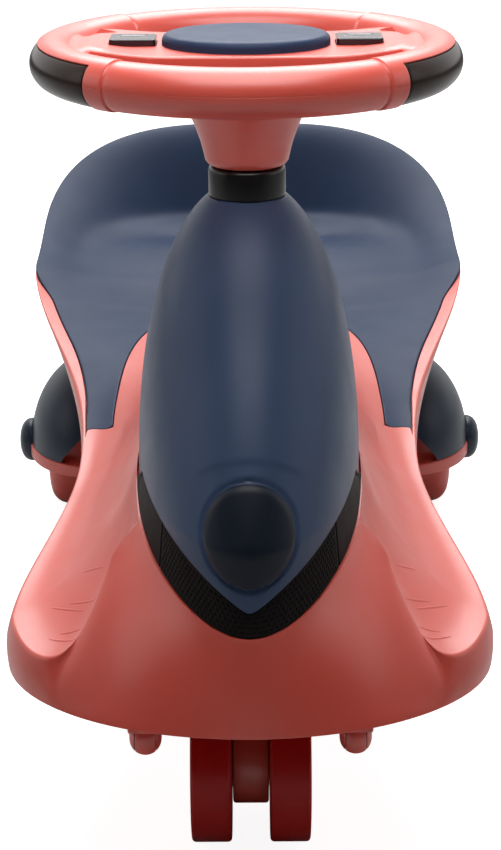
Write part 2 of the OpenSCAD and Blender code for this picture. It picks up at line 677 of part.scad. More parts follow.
// The pad's round edge: how far each layer steps in, and shares of both
pad_round = 3.2;
pad_shares = [[0, 0.55], [0.25, 0.78], [0.6, 0.92], [1, 1]];
button_w = 25;
button_d = 21;
button_gap = 3;
button_x = pad_width / 2 + button_gap + button_w / 2;
// How far the buttons lie behind the column's axis
button_back = 3;
button_rise = 4;
button_flange = 1.5;
speaker_r = 17;
speaker_rim = 2.3;
board_h = 1.2;
board_half = 72;
board_half_depth = 17;
cell_r = 5.2;
cell_length = 42;
cell_x = button_x;
door_w = 26;
door_d = 40;
cone_waist_r = 28.5;
cone_waist_h = 22.5;
cone_foot_r = 18.5;
shaft_wall = 2.5;
// How far the shaft reaches down into the caster's hub
shaft_seat = 52;
shaft_foot_h = fork_top_h - shaft_seat;
bolt_r = 3;
bolt_head_r = 5.5;
bolt_head_h = 4;
wheel_bolt_head_r = 13;
wheel_bolt_head_h = 5;
wheel_bolt_length = 26;
screw_head_r = 3;
screw_head_h = 1.8;
screw_x = 40;
screw_y = 27;

module at_rim() { translate([0, steer_y, rim_centre_h]) children(); }
module half_plane(side) { translate([-rim_r, side > 0 ? 0 : -2 * rim_r]) square(2 * rim_r); }
module ring_arc(angle) {
    rotate(-angle / 2) rotate_extrude(angle = angle) translate([ring_r, 0]) children();
}
module half_tube(outer, inner, side) {
    intersection() {
        difference() {
            circle(r = outer);
            circle(r = inner);
        }
        half_plane(side);
    }
}
// A wedge of the rim's section
module wedge(from, to) {
    reach = 2 * rim_r;
    middle = (from + to) / 2;
    polygon(concat([[0, 0]], [for (a = [from, middle, to]) reach * [cos(a), sin(a)]]));
}
module rim_half(side) {
    difference() {
        union() {
            ring_arc(full_turn) half_tube(slim_r, core_r - rim_wall, side);
            for (a = [0, 180]) rotate(a) ring_arc(side_angle) half_tube(rim_r, core_r, side);
        }
        for (a = [0, 180]) rotate(a) ring_arc(grip_angle) difference() {
            wedge(grip_low_angle - grip_edge_angle, grip_high_angle + grip_edge_angle);
            circle(r = core_r);
        }
    }
}
module oval(half_w, half_d) {
    polygon([for (i = [0:oval_sides - 1]) let (a = full_turn * i / oval_sides)
        [half_w * cos(a), half_d * sin(a)]]);
}
module hub_outline(inset) {
    intersection() {
        circle(r = ring_r - core_r + rim_wall / 2 - inset);
        oval(hub_half_w - inset, hub_half_depth - inset);
    }
}
module pad_outline(inset) { oval(pad_width / 2 - inset, pad_depth / 2 - inset); }
module button_outline(gap) { square([button_w + 2 * gap, button_d + 2 * gap], center = true); }
module ring_bore() {
    rotate_extrude() translate([ring_r, 0]) circle(r = core_r - rim_wall / 2);
}

module wheel_upper() {
    color(coral) at_rim() {
        difference() {
            union() {
                rim_half(1);
                difference() {
                    linear_extrude(hub_top) hub_outline(0);
                    ring_bore();
                }
            }
            translate([0, 0, -cut]) linear_extrude(hub_top - shell_wall - pad_sink + cut)
                hub_outline(shell_wall);
            translate([0, 0, hub_top - pad_sink]) linear_extrude(pad_sink + cut) pad_outline(-seat_gap);
            cylinder(r = speaker_r + seat_gap, h = hub_top);
            for (s = [-1, 1]) translate([s * button_x, button_back, 0]) linear_extrude(hub_top + cut)
                button_outline(seat_gap);
        }
    }
}

module cone_shape() {
    shaft_r = shaft_d / 2;
    rotate_extrude() polygon([[shaft_r, -wheel_rise], [cone_foot_r, -wheel_rise],
        [cone_waist_r, cone_waist_h - wheel_rise], [hub_half_depth - shell_wall, -hub_foot],
        [hub_half_depth - shell_wall, shell_wall - hub_foot], [shaft_r, shell_wall - hub_foot]]);
}
module wheel_lower() {
    color(coral) at_rim() union() {
        rim_half(-1);
        difference() {
            translate([0, 0, -hub_foot]) linear_extrude(hub_foot) hub_outline(0);
            translate([0, 0, shell_wall - hub_foot]) linear_extrude(hub_foot) hub_outline(shell_wall);
            ring_bore();
            cylinder(d = shaft_d, h = 2 * hub_foot, center = true);
            translate([cell_x, 0, -hub_foot - cut]) linear_extrude(shell_wall + 2 * cut)
                square([door_w, door_d], center = true);
        }
        cone_shape();
    }
}

module grip(side) {
    color(black) at_rim() rotate(side > 0 ? 0 : 180) ring_arc(grip_angle - grip_end_angle) intersection() {
        difference() {
            circle(r = rim_r - grip_sink);
            circle(r = core_r + seat_gap / 2);
        }
        wedge(grip_low_angle, grip_high_angle);
    }
}
module grip_left() { grip(-1); }
module grip_right() { grip(1); }

module hub_pad() {
    color(navy) at_rim() translate([0, 0, hub_top - pad_sink]) for (s = pad_shares)
        linear_extrude(pad_sink + pad_proud * s[1]) pad_outline(pad_round * s[0]);
}

// Each button hangs by its flange under the shell and stops on the sound board
button_ceiling = hub_top - shell_wall - pad_sink;
module button(side) {
    color(black) at_rim() translate([side * button_x, button_back, button_ceiling - seat_gap]) {
        linear_extrude(hub_top + button_rise - button_ceiling) button_outline(0);
        translate([0, 0, -button_flange]) linear_extrude(button_flange) button_outline(button_flange);
    }
}
module button_left() { button(-1); }
module button_right() { button(1); }

board_top = button_ceiling - seat_gap - button_flange - button_travel - seat_gap;
module sound_board() {
    color(circuit_green) at_rim() translate([0, 0, board_top - board_h]) linear_extrude(board_h)
        square([2 * board_half, 2 * board_half_depth], center = true);
}
module speaker() {
    color(black) at_rim() translate([0, 0, board_top]) {
        cylinder(r = speaker_r, h = speaker_rim);
        cylinder(r = speaker_r / 2, h = hub_top - pad_sink - board_top - seat_gap);
    }
}
module battery_cells() {
    color(steel) at_rim() for (s = [-1, 1])
        translate([cell_x + s * (cell_r + seat_gap), 0, shell_wall - hub_foot + cell_r])
            rotate([90, 0, 0]) cylinder(r = cell_r, h = cell_length, center = true);
}
module battery_door() {
    color(coral) at_rim() translate([cell_x, 0, -hub_foot]) linear_extrude(shell_wall - seat_gap)
        square([door_w - 2 * seat_gap, door_d - 2 * seat_gap], center = true);
}
module wheel_screws() {
    color(steel) at_rim() for (s = [-1, 1], t = [-1, 1])
        translate([s * screw_x, t * screw_y, -hub_foot - screw_head_h])
            cylinder(r = screw_head_r, h = screw_head_h);
}

shaft_top_h = rim_centre_h + shell_wall - hub_foot;
shaft_bore_r = shaft_d / 2 - shaft_wall;
module steering_shaft() {
    color(steel) difference() {
        on_column(shaft_foot_h) cylinder(d = shaft_d, h = shaft_top_h - shaft_foot_h);
        on_column(shaft_foot_h - cut) cylinder(r = shaft_bore_r, h = shaft_top_h - shaft_foot_h + 2 * cut);
        on_column(fork_bolt_h) rotate([0, 90, 0]) cylinder(r = bolt_r, h = 2 * shaft_d, center = true);
    }
}

// The bolt in the shaft's head clamps the wheel's hub
module wheel_bolt() {
    color(steel) on_column(shaft_top_h) {
        cylinder(r = wheel_bolt_head_r, h = wheel_bolt_head_h, $fn = 6);
        translate([0, 0, -wheel_bolt_length]) cylinder(r = shaft_bore_r, h = wheel_bolt_length);
    }
}

// Caster: a fork between two wheels, leading the column

fork_hub_wall = 12;
fork_hub_r = shaft_d / 2 + fork_hub_wall;
front_axle_h = front_wheel_d / 2;
fork_boss_r = 17;
fork_bolt_drop = 30;
fork_bolt_h = fork_top_h - fork_bolt_drop;
// Room between the turning arm and the body's lower edge
fork_clear = 4;
fork_arm_top = skirt_h - fork_clear;
fork_hub_h = 58;
fork_arm_foot = fork_top_h - fork_hub_h;
fork_rib_w = 3;
fork_rib_x = 7;
fork_rib_out = 3;
front_axle_r = front_axle_d / 2;

// The arm's outline from the side: out is the way to the axle
module fork_side() {
    translate([caster_lead, front_axle_h]) circle(r = fork_boss_r);
    polygon([[0, fork_arm_foot], [caster_lead, front_axle_h - fork_boss_r],
        [caster_lead + fork_boss_r, front_axle_h],
        [caster_lead + fork_boss_r / 2, fork_arm_top - fork_boss_r],
        [caster_lead - fork_boss_r, fork_arm_top], [0, fork_arm_top]]);
}
// A rib on the arm's front
module fork_rib() {
    polygon([[caster_lead, front_axle_h], [caster_lead + fork_boss_r, front_axle_h],
        [caster_lead + fork_boss_r / 2 + fork_rib_out, fork_arm_top - fork_boss_r],
        [caster_lead - fork_rib_out, fork_arm_top], [caster_lead - fork_boss_r, fork_arm_top]]);
}
module side_extrude(width) {
    translate([-width / 2, steer_y, 0]) rotate([90, 0, -90]) mirror([0, 0, 1])
        linear_extrude(width) children();
}
module caster_fork() {
    color(coral) difference() {
        union() {
            side_extrude(fork_w) fork_side();
            for (s = [-1:1]) translate([s * fork_rib_x, 0, 0]) side_extrude(fork_rib_w) fork_rib();
            on_column(fork_arm_foot) cylinder(r = fork_hub_r, h = fork_hub_h);
        }
        on_column(shaft_foot_h) cylinder(d = shaft_d, h = fork_top_h);
        on_column(fork_bolt_h) rotate([0, 90, 0]) cylinder(r = bolt_r, h = 4 * fork_hub_r, center = true);
        translate([0, caster_y, front_axle_h]) rotate([0, 90, 0])
            cylinder(r = front_axle_r, h = 2 * fork_w, center = true);
    }
}
// A cross bolt with its nut
module fork_bolt() {
    color(steel) on_column(fork_bolt_h) rotate([0, 90, 0]) {
        translate([0, 0, -fork_hub_r - bolt_head_h]) cylinder(r = bolt_head_r, h = bolt_head_h);
        translate([0, 0, -fork_hub_r]) cylinder(r = bolt_r, h = 2 * fork_hub_r + bolt_head_h);
        translate([0, 0, fork_hub_r]) cylinder(r = bolt_head_r, h = bolt_head_h, $fn = 6);
    }
}

wheel_side_gap = 0.4;
front_inner_x = fork_w / 2 + wheel_side_gap;
front_recess = 6;
front_bore_r = front_axle_r + run_gap;
hub_bush_wall = 3;
front_bush_r = front_axle_r + hub_bush_wall;
front_tyre_depth = 15;
front_hub_r = front_wheel_d / 2 - front_tyre_depth;
front_shoulder = 6;
front_cap_lap = 3;
front_cap_r = front_bush_r + front_cap_lap;
front_cap_h = 4;
front_axle_half = front_inner_x + front_wheel_w - front_recess + wheel_side_gap;

module on_front_axle(side) {
    translate([0, caster_y, front_axle_h]) rotate([0, 90, 0]) mirror([0, 0, side > 0 ? 0 : 1]) children();
}
module on_rear_axle(side) {
    translate([0, axle_y, rear_axle_h]) rotate([0, 90, 0]) mirror([0, 0, side > 0 ? 0 : 1]) children();
}
module front_axle() {
    color(steel) on_front_axle(1)
        cylinder(r = front_axle_r, h = 2 * front_axle_half + front_cap_h, center = true);
}
module front_caps() {
    color(black) for (s = [-1, 1]) on_front_axle(s) translate([0, 0, front_axle_half]) difference() {
        cylinder(r = front_cap_r, h = front_cap_h);
        translate([0, 0, -cut]) cylinder(r = front_axle_r, h = front_cap_h / 2 + cut);
    }
}
// A tyre with round shoulders, from its inner face
module tyre(outer, inner, width, shoulder) {
    rotate_extrude() intersection() {
        translate([inner, 0]) square([outer - inner, width]);
        union() {
            square([outer - shoulder, width]);
            translate([0, shoulder]) square([outer, width - 2 * shoulder]);
            for (v = [shoulder, width - shoulder]) translate([outer - shoulder, v]) circle(r = shoulder);
        }
    }
}
module front_tyre(side) {
    color(dark_red) on_front_axle(side) translate([0, 0, front_inner_x])
        tyre(front_wheel_d / 2, front_hub_r, front_wheel_w, front_shoulder);
}
module front_tyre_left() { front_tyre(-1); }
module front_tyre_right() { front_tyre(1); }
hub_rim_wall = 3;
hub_web = 5;
front_boss_wall = 4;
module front_hub(side) {
    color(coral) on_front_axle(side) translate([0, 0, front_inner_x]) rotate_extrude() {
        translate([front_bush_r, 0]) square([front_boss_wall, front_wheel_w - front_recess]);
        translate([front_bush_r, (front_wheel_w - hub_web) / 2])
            square([front_hub_r - front_bush_r, hub_web]);
        translate([front_hub_r - hub_rim_wall, 0]) square([hub_rim_wall, front_wheel_w]);
    }
}
module front_hub_left() { front_hub(-1); }
module front_hub_right() { front_hub(1); }
// Two plain bushes, one pressed in at each end of a hub
module hub_bushes(bore, outer, from, to) {
    length = (to - from) / 3;
    for (z = [from, to - length]) translate([0, 0, z]) difference() {
        cylinder(r = outer, h = length);
        translate([0, 0, -cut]) cylinder(r = bore, h = length + 2 * cut);
    }
}
module front_bushes(side) {
    color(nylon) on_front_axle(side)
        hub_bushes(front_bore_r, front_bush_r, front_inner_x, front_inner_x + front_wheel_w - front_recess);
}
module front_bushes_left() { front_bushes(-1); }
module front_bushes_right() { front_bushes(1); }

// Rear axle: a carrier under the body, a wheel and a domed fender on each side

rear_axle_h = rear_wheel_d / 2;
rear_axle_r = rear_axle_d / 2;
plate_w = 6;
// How far the carrier's plates stand outside the body's lower edge
plate_out = 4;
plate_x = skirt_half - plate_w + plate_out;
plate_half = 38;
// The frame round each wheel's opening carries the fender
frame_h = 9;
frame_rise = 2;
frame_top = rear_axle_h + frame_rise;
frame_margin = 2;
frame_inset = 1.5;
wheel_room = 6;
fender_gap = 6;
fender_wall = 3;
fender_x = plate_x + plate_w + fender_gap;
fender_out_x = fender_x + fender_w;
frame_out_x = fender_out_x - frame_inset;
rear_inner_x = plate_x + plate_w + wheel_side_gap;
lug_w = 5;
lug_x = fender_out_x - fender_wall - wheel_side_gap - lug_w;
lug_r = 13;
rear_outer_x = lug_x - wheel_side_gap;
beam_half = 16;
beam_wall = 4;
beam_clear = 8;
beam_foot = rear_axle_h + rear_axle_r + beam_clear;
nut_r = 8;
nut_h = 6;
cap_margin = 1;
fender_flat_r = cap_d / 2 + cap_margin;

module axle_carrier() {
    color(coral) difference() {
        union() {
            for (s = [-1, 1]) mirror([s > 0 ? 0 : 1, 0, 0]) {
                translate([plate_x, axle_y - plate_half, frame_top - frame_h])
                    cube([plate_w, 2 * plate_half, skirt_h - frame_top + frame_h]);
                translate([plate_x, axle_y - fender_r - frame_margin, frame_top - frame_h])
                    cube([frame_out_x - plate_x, 2 * (fender_r + frame_margin), frame_h]);
                translate([lug_x, axle_y, rear_axle_h]) rotate([0, 90, 0])
                    cylinder(r = lug_r, h = lug_w);
                translate([plate_x, axle_y, rear_axle_h]) rotate([0, 90, 0])
                    cylinder(r = lug_r, h = plate_w);
            }
            translate([-plate_x - cut, axle_y - beam_half, beam_foot])
                cube([2 * (plate_x + cut), 2 * beam_half, skirt_h - beam_foot]);
        }
        translate([-plate_x, axle_y - beam_half + beam_wall, beam_foot - cut])
            cube([2 * plate_x, 2 * (beam_half - beam_wall), skirt_h - beam_foot - beam_wall + cut]);
        for (s = [-1, 1]) mirror([s > 0 ? 0 : 1, 0, 0])
            translate([plate_x + plate_w, axle_y - rear_axle_h - wheel_room, frame_top - frame_h - cut])
                cube([lug_x - plate_x - plate_w, 2 * (rear_axle_h + wheel_room), frame_h + 2 * cut]);
        translate([-2 * frame_out_x, axle_y - 2 * lug_r, 0])
            cube([4 * frame_out_x, 4 * lug_r, frame_top - frame_h]);
        on_rear_axle(1) cylinder(r = rear_axle_r, h = 2 * fender_out_x, center = true);
    }
}

module rear_axle() {
    color(steel) on_rear_axle(1) cylinder(r = rear_axle_r, h = 2 * (fender_out_x + nut_h), center = true);
}
module rear_nuts() {
    color(steel) for (s = [-1, 1]) on_rear_axle(s) translate([0, 0, fender_out_x]) difference() {
        cylinder(r = nut_r, h = nut_h, $fn = 6);
        translate([0, 0, -cut]) cylinder(r = rear_axle_r, h = nut_h + 2 * cut);
    }
}

// The fender is a half dome turned about the axle, with a flat for the axle cap
fender_steps = 14;
fender_flat_a = acos(fender_flat_r / fender_r);
function dome(r, w, wall) = [for (i = [0:fender_steps]) let (a = fender_flat_a * i / fender_steps)
    [(r - wall) * cos(a), fender_x + (w - wall) * sin(a) / sin(fender_flat_a)]];
// The room that the body's leaning wall takes up beside the fender
flank_lean = (seat_half - skirt_half) / (seat_edge_h - skirt_h);
module body_flank() {
    foot = skirt_half + wall_bulge + seat_gap;
    rise = 2 * fender_r;
    translate([0, axle_y + 2 * fender_r, skirt_h]) rotate([90, 0, 0]) linear_extrude(4 * fender_r)
        polygon([[0, 0], [foot, 0], [foot + rise * flank_lean, rise], [0, rise]]);
}
module fender(side) {
    outer = dome(fender_r, fender_w, 0);
    inner = dome(fender_r, fender_w, fender_wall);
    color(navy) difference() {
        on_rear_axle(side) rotate(90) rotate_extrude(angle = 180)
            polygon(concat(outer, [[rear_axle_r + seat_gap, fender_out_x],
                [rear_axle_r + seat_gap, fender_out_x - fender_wall]],
                [for (i = [fender_steps:-1:0]) inner[i]]));
        translate([-2 * fender_out_x, axle_y - 2 * fender_r, 0])
            cube([4 * fender_out_x, 4 * fender_r, frame_top + seat_gap]);
        mirror([side > 0 ? 0 : 1, 0, 0]) body_flank();
    }
}
module fender_left() { fender(-1); }
module fender_right() { fender(1); }

module axle_cap(side) {
    color(navy) on_rear_axle(side) translate([0, 0, fender_out_x + seat_gap]) difference() {
        rotate_extrude() polygon(concat([[0, 0]], [for (i = [0:fender_steps]) let (a = 90 * i / fender_steps)
            [cap_d / 2 * cos(a), (cap_proud - seat_gap) * sin(a)]]));
        translate([0, 0, -cut]) cylinder(r = nut_r + seat_gap, h = nut_h + cut);
    }
}
module axle_cap_left() { axle_cap(-1); }
module axle_cap_right() { axle_cap(1); }

rear_tyre_depth = 16;
rear_hub_r = rear_wheel_d / 2 - rear_tyre_depth;
rear_bush_r = rear_axle_r + hub_bush_wall;
rear_bore_r = rear_axle_r + run_gap;
rear_shoulder = 13;
tread_gap = 0.5;
rear_tread_x = fender_x + tread_gap;
rear_boss_wall = 5;
module rear_tyre(side) {
    color(coral) on_rear_axle(side) translate([0, 0, rear_tread_x])
        tyre(rear_wheel_d / 2, rear_hub_r, rear_wheel_w, rear_shoulder);
}
module rear_tyre_left() { rear_tyre(-1); }
module rear_tyre_right() { rear_tyre(1); }
module rear_hub(side) {
    color(coral) on_rear_axle(side) rotate_extrude() {
        translate([rear_bush_r, rear_inner_x]) square([rear_boss_wall, rear_outer_x - rear_inner_x]);
        translate([rear_bush_r, rear_tread_x + (rear_wheel_w - hub_web) / 2])
            square([rear_hub_r - rear_bush_r, hub_web]);
        translate([rear_hub_r - hub_rim_wall, rear_tread_x]) square([hub_rim_wall, rear_wheel_w]);
    }
}
module rear_hub_left() { rear_hub(-1); }
module rear_hub_right() { rear_hub(1); }
module rear_bushes(side) {
    color(nylon) on_rear_axle(side) hub_bushes(rear_bore_r, rear_bush_r, rear_inner_x, rear_outer_x);
}
module rear_bushes_left() { rear_bushes(-1); }
module rear_bushes_right() { rear_bushes(1); }

// Anti-tip rollers under the bumper

roller_y = front_y + roller_setback;
roller_r = roller_d / 2;
roller_top_gap = 0.5;
roller_h = skirt_h - roller_r - roller_top_gap;
roller_pin_r = 2.5;
// Radius of the roller's crown as a share of its width
roller_crown_share = 0.8;
roller_gap = 0.4;
cheek = 2.8;
cheek_half = 7;
// The bracket's bar lies under the bumper's edge, in front of the roller
bar_front = 24;
bar_d = 11;
bar_h = 3;
module at_roller(side) { translate([side * roller_spread / 2, roller_y, roller_h]) children(); }
module roller(side) {
    crown_r = roller_w * roller_crown_share;
    color(coral) at_roller(side) rotate([0, 90, 0]) difference() {
        rotate_extrude() intersection() {
            translate([0, -roller_w / 2]) square([roller_r, roller_w]);
            union() {
                translate([0, -roller_w / 2]) square([roller_r - crown_r, roller_w]);
                translate([roller_r - crown_r, 0]) circle(r = crown_r);
            }
        }
        cylinder(r = roller_pin_r + run_gap, h = 2 * roller_w, center = true);
    }
}
module roller_left() { roller(-1); }
module roller_right() { roller(1); }
module roller_pins() {
    color(steel) for (s = [-1, 1]) at_roller(s) rotate([0, 90, 0])
        cylinder(r = roller_pin_r, h = roller_w + 2 * (roller_gap + cheek), center = true);
}
module roller_bracket(side) {
    room = roller_w / 2 + roller_gap;
    top = skirt_h - roller_h;
    color(coral) at_roller(side) difference() {
        union() {
            for (x = [-room - cheek, room]) translate([x, 0, 0]) {
                translate([0, -bar_front, top - bar_h]) cube([cheek, bar_front + cheek_half, bar_h]);
                translate([0, -cheek_half, 0]) cube([cheek, 2 * cheek_half, top]);
                rotate([0, 90, 0]) cylinder(r = cheek_half, h = cheek);
            }
            translate([-room - cheek, -bar_front, top - bar_h]) cube([2 * (room + cheek), bar_d, bar_h]);
        }
        rotate([0, 90, 0]) cylinder(r = roller_pin_r, h = 2 * roller_w, center = true);
    }
}
module roller_bracket_left() { roller_bracket(-1); }
module roller_bracket_right() { roller_bracket(1); }

body_shell();
seat_panel();
console_hood();
grille_band();
nose_disc();
column_collar();
column_sleeve();
lower_bush();
axle_carrier();
rear_axle();
rear_nuts();
fender_left();
fender_right();
axle_cap_left();
axle_cap_right();
roller_bracket_left();
roller_bracket_right();
roller_pins();
roller_left();
roller_right();
wheel_upper();
wheel_lower();
grip_left();
grip_right();
hub_pad();
button_left();
button_right();
sound_board();
speaker();
battery_cells();
battery_door();
wheel_screws();
steering_shaft();
wheel_bolt();
caster_fork();
fork_bolt();
front_axle();
front_caps();
front_tyre_left();
front_hub_left();
front_bushes_left();
front_tyre_right();
front_hub_right();
front_bushes_right();
rear_tyre_left();
rear_hub_left();
rear_bushes_left();
rear_tyre_right();
rear_hub_right();
rear_bushes_right();
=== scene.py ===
from math import acos, cos, hypot, pi, radians, sin, sqrt

import bmesh
import bpy
import numpy as np
from mathutils import Matrix, Vector
from mathutils.bvhtree import BVHTree


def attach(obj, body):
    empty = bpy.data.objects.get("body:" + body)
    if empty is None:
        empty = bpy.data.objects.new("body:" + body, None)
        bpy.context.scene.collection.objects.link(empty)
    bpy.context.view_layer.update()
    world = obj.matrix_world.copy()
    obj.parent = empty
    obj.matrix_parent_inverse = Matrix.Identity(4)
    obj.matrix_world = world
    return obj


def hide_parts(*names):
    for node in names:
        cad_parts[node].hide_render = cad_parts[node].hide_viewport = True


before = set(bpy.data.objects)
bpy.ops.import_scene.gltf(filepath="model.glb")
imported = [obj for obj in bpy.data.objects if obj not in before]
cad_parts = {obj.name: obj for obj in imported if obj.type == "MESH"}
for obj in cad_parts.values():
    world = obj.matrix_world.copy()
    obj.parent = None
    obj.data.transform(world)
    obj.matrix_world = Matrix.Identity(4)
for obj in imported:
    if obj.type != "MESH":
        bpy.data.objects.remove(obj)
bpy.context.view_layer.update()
scene = bpy.context.scene

# Studio: a white sweep with a large soft lamp high behind the car, one at each side and a small
# one over the steering wheel. A dark screen stands round the camera, so the front lies in shade.
eye = Vector((0.001, -1.366, 0.6045))
look_down = radians(19.22)
camera_roll = -0.0064
focal_px = 2122
image_height = 850

scene.view_settings.view_transform = "Standard"
camera = bpy.data.objects.new("camera", bpy.data.cameras.new("camera"))
scene.collection.objects.link(camera)
ahead = Vector((0, cos(look_down), -sin(look_down)))
across = Vector((1, 0, 0))
above = across.cross(ahead)
image_right = across * cos(camera_roll) + above * sin(camera_roll)
image_up = above * cos(camera_roll) - across * sin(camera_roll)
camera.matrix_world = Matrix([(image_right[i], image_up[i], -ahead[i], eye[i]) for i in range(3)]
                             + [(0, 0, 0, 1)])
camera.data.sensor_width = 36
camera.data.lens = focal_px / image_height * camera.data.sensor_width
scene.camera = camera


class Tone:
    """A value in a material's node tree: sums and products of it add Math nodes."""

    def __init__(self, tree, socket=None):
        self.tree, self.socket = tree, socket

    def node(self, kind, settings, sockets, out=0):
        """Adds a node of that kind, sets it up, links its sockets and gives one output."""
        made = self.tree.nodes.new(kind)
        for name, value in settings.items():
            setattr(made, name, value)
        for name, value in sockets.items():
            if isinstance(value, Tone):
                self.tree.links.new(value.socket, made.inputs[name])
            else:
                made.inputs[name].default_value = value
        return Tone(self.tree, made.outputs[out])

    def into(self, shader, socket):
        self.tree.links.new(self.socket, shader.inputs[socket])

    def maths(self, operation, a, b=0.0):
        return self.node("ShaderNodeMath", {"operation": operation}, {0: a, 1: b})

    def __add__(self, other):
        return self.maths("ADD", self, other)

    def __sub__(self, other):
        return self.maths("SUBTRACT", self, other)

    def __rsub__(self, other):
        return self.maths("SUBTRACT", other, self)

    def __mul__(self, other):
        return self.maths("MULTIPLY", self, other)

    __radd__, __rmul__ = __add__, __mul__

    def between(self, low, high):
        """0 below low, 1 above high, and a straight climb between."""
        return self.node("ShaderNodeMapRange", {"clamp": True},
                         {"Value": self, "From Min": low, "From Max": high})

    def tint(self, one, two):
        """Colour one where the value is 0 and colour two where it is 1."""
        return self.node("ShaderNodeMix", {"data_type": "RGBA"}, {0: self, 6: one, 7: two}, 2)


def light(*srgb):
    """A colour as the eye reads it, 0 to 255, in the linear light that shaders take."""
    share = [c / 255 for c in srgb]
    return (*[c / 12.92 if c < 0.0405 else ((c + 0.055) / 1.055) ** 2.4 for c in share], 1)


world = bpy.data.worlds.new("studio")
world.use_nodes = True
scene.world = world
fill, sheen = 0.1, 1.0
sky = Tone(world.node_tree)
ray = world.node_tree.nodes.new("ShaderNodeLightPath")
seen = sky.maths("MAXIMUM", Tone(sky.tree, ray.outputs["Is Camera Ray"]),
                 Tone(sky.tree, ray.outputs["Is Transmission Ray"]))
outward = sky.node("ShaderNodeTexCoord", {}, {}, "Generated")
to_back = sky.node("ShaderNodeSeparateXYZ", {}, {"Vector": outward}, "Y").between(-0.1, 0.7)
reflected = Tone(sky.tree, ray.outputs["Is Glossy Ray"]) * to_back
world.node_tree.nodes["Background"].inputs["Color"].default_value = (1, 1, 1, 1)
(seen * (1 - fill) + reflected * sheen + fill).into(world.node_tree.nodes["Background"], "Strength")


def lamp(name, place, target, size, power):
    """A square soft box that points at its target."""
    data = bpy.data.lights.new(name, "AREA")
    data.shape, data.size, data.energy = "SQUARE", size, power
    made = bpy.data.objects.new(name, data)
    made.location = place
    made.rotation_euler = (Vector(target) - Vector(place)).to_track_quat("-Z", "Y").to_euler()
    scene.collection.objects.link(made)


middle = (0, 0, 0.15)
lamp("lamp_top", (0, 1.1, 1.9), middle, 1.6, 57)
lamp("lamp_left", (-1.9, -0.35, 1.0), middle, 1.2, 4.5)
lamp("lamp_right", (1.9, -0.35, 1.0), middle, 1.2, 4.5)
lamp("lamp_front", (0, -0.42, 0.76), (0, -0.3, 0.3), 0.4, 2.4)


def plate(name, corners, material):
    """A flat sheet of the studio through its four corners, in metres."""
    mesh = bpy.data.meshes.new(name)
    mesh.from_pydata(corners, [], [(0, 1, 2, 3)])
    mesh.materials.append(material)
    made = bpy.data.objects.new(name, mesh)
    scene.collection.objects.link(made)
    return made


def matt_paint(name, grey, roughness):
    """Flat grey paint, as its material, its node tree and its shader."""
    paint = bpy.data.materials.new(name)
    paint.use_nodes = True
    shader = paint.node_tree.nodes["Principled BSDF"]
    shader.inputs["Base Color"].default_value = (grey, grey, grey, 1)
    shader.inputs["Roughness"].default_value = roughness
    shader.inputs["Specular IOR Level"].default_value = 0.0
    return paint, Tone(paint.node_tree), shader


floor_half, floor_grey, floor_glow = 15.0, 0.68, 0.92
floor_paint, floor, floor_shader = matt_paint("studio_floor", floor_grey, 0.9)
floor_ray = floor.tree.nodes.new("ShaderNodeLightPath")
floor_seen = Tone(floor.tree, floor_ray.outputs["Is Camera Ray"])
floor_glowing = floor.node("ShaderNodeEmission", {}, {"Strength": floor_seen * floor_glow})
floor_sum = floor.node("ShaderNodeAddShader", {},
                       {0: Tone(floor.tree, floor_shader.outputs[0]), 1: floor_glowing})
floor_sum.into(floor.tree.nodes["Material Output"], "Surface")
floor_corners = ((-1, -1), (1, -1), (1, 1), (-1, 1))
plate("floor", [(x * floor_half, y * floor_half, 0) for x, y in floor_corners], floor_paint)
card_y, wing_y, card_half, card_top = -1.6, -0.5, 3.0, 7.0
card_paint = matt_paint("dark_card", 0.03, 1.0)[0]
card_foot = [(-card_half, wing_y), (-card_half, card_y), (card_half, card_y), (card_half, wing_y)]
for name, (x0, y0), (x1, y1) in zip(("card_left", "card", "card_right"), card_foot, card_foot[1:]):
    card = plate(name, [(x0, y0, 0), (x1, y1, 0), (x1, y1, card_top), (x0, y0, card_top)], card_paint)
    card.visible_camera = False


# Body shell: one large moulding of coral plastic, hollow below and open underneath, with
# a bowed bumper, a scooped footrest on each side and a round backrest. It is drawn in rows
# from its lower edge over the rim to the middle line, and the right half is mirrored.
rear_y = 400.0
bumper_half, bumper_bow, bow_y = 133.0, 100.0, -300.0
waist_half, waist_y = 106.0, -115.0
seat_half, seat_y = 160.0, 190.0
skirt_half, skirt_h, rear_lean = 108.0, 98.0, 28.0
round_y = 240.0
foot_h, seat_edge_h, rim_h, pan_h = 123.0, 194.5, 258.0, 170.0
body_wall, trim_wall, seat_gap = 3.0, 3.0, 0.3
steer_y = -230.0
hood_half, hood_reach, hood_back = 62.0, 155.0, 70.0
hood_waist_h, neck_h, egg_over = 195.0, 342.0, 8.0
ridge_h, ledge_h, plateau_h, prow_flare, ridge_in = 191.0, 186.2, 150.0, 3.0, 1.9
ledge_in, plateau_in, prow_sink = 7.0, 22.0, 3.0
ledge_step, ledge_w, basin_w = 1.0, 10.0, 22.0
hood_rear_y, basin_end_y, basin_floor_y = -160.0, -157.0, -194.0
tip_y, notch_end_y, notch_half = -92.0, 133.0, 87.0
seat_band, tip_band, tip_run, recess = 10.0, 2.0, 150.0, 3.3
lap_from_y, lap_to_y = 120.0, 185.0
pan_end_y, pan_rise = 330.0, 26.0
prow_angle, flank_end_y = 67.5, -238.0
bow_foot_angle, wall_bow, flank_bow = 32.4, 2.0, 16.0
prow_turns = [0, 7, 15, 30, 42, 54, 67.5]
prow_heights = [147.8, 148.5, 150.6, 156.8, 162.6, 168.0, 174.5]


def mix(a, b, t):
    return a + (b - a) * t


def clamp(t):
    return min(1.0, max(0.0, t))


def smooth(t):
    u = clamp(t)
    return u * u * (3 - 2 * u)


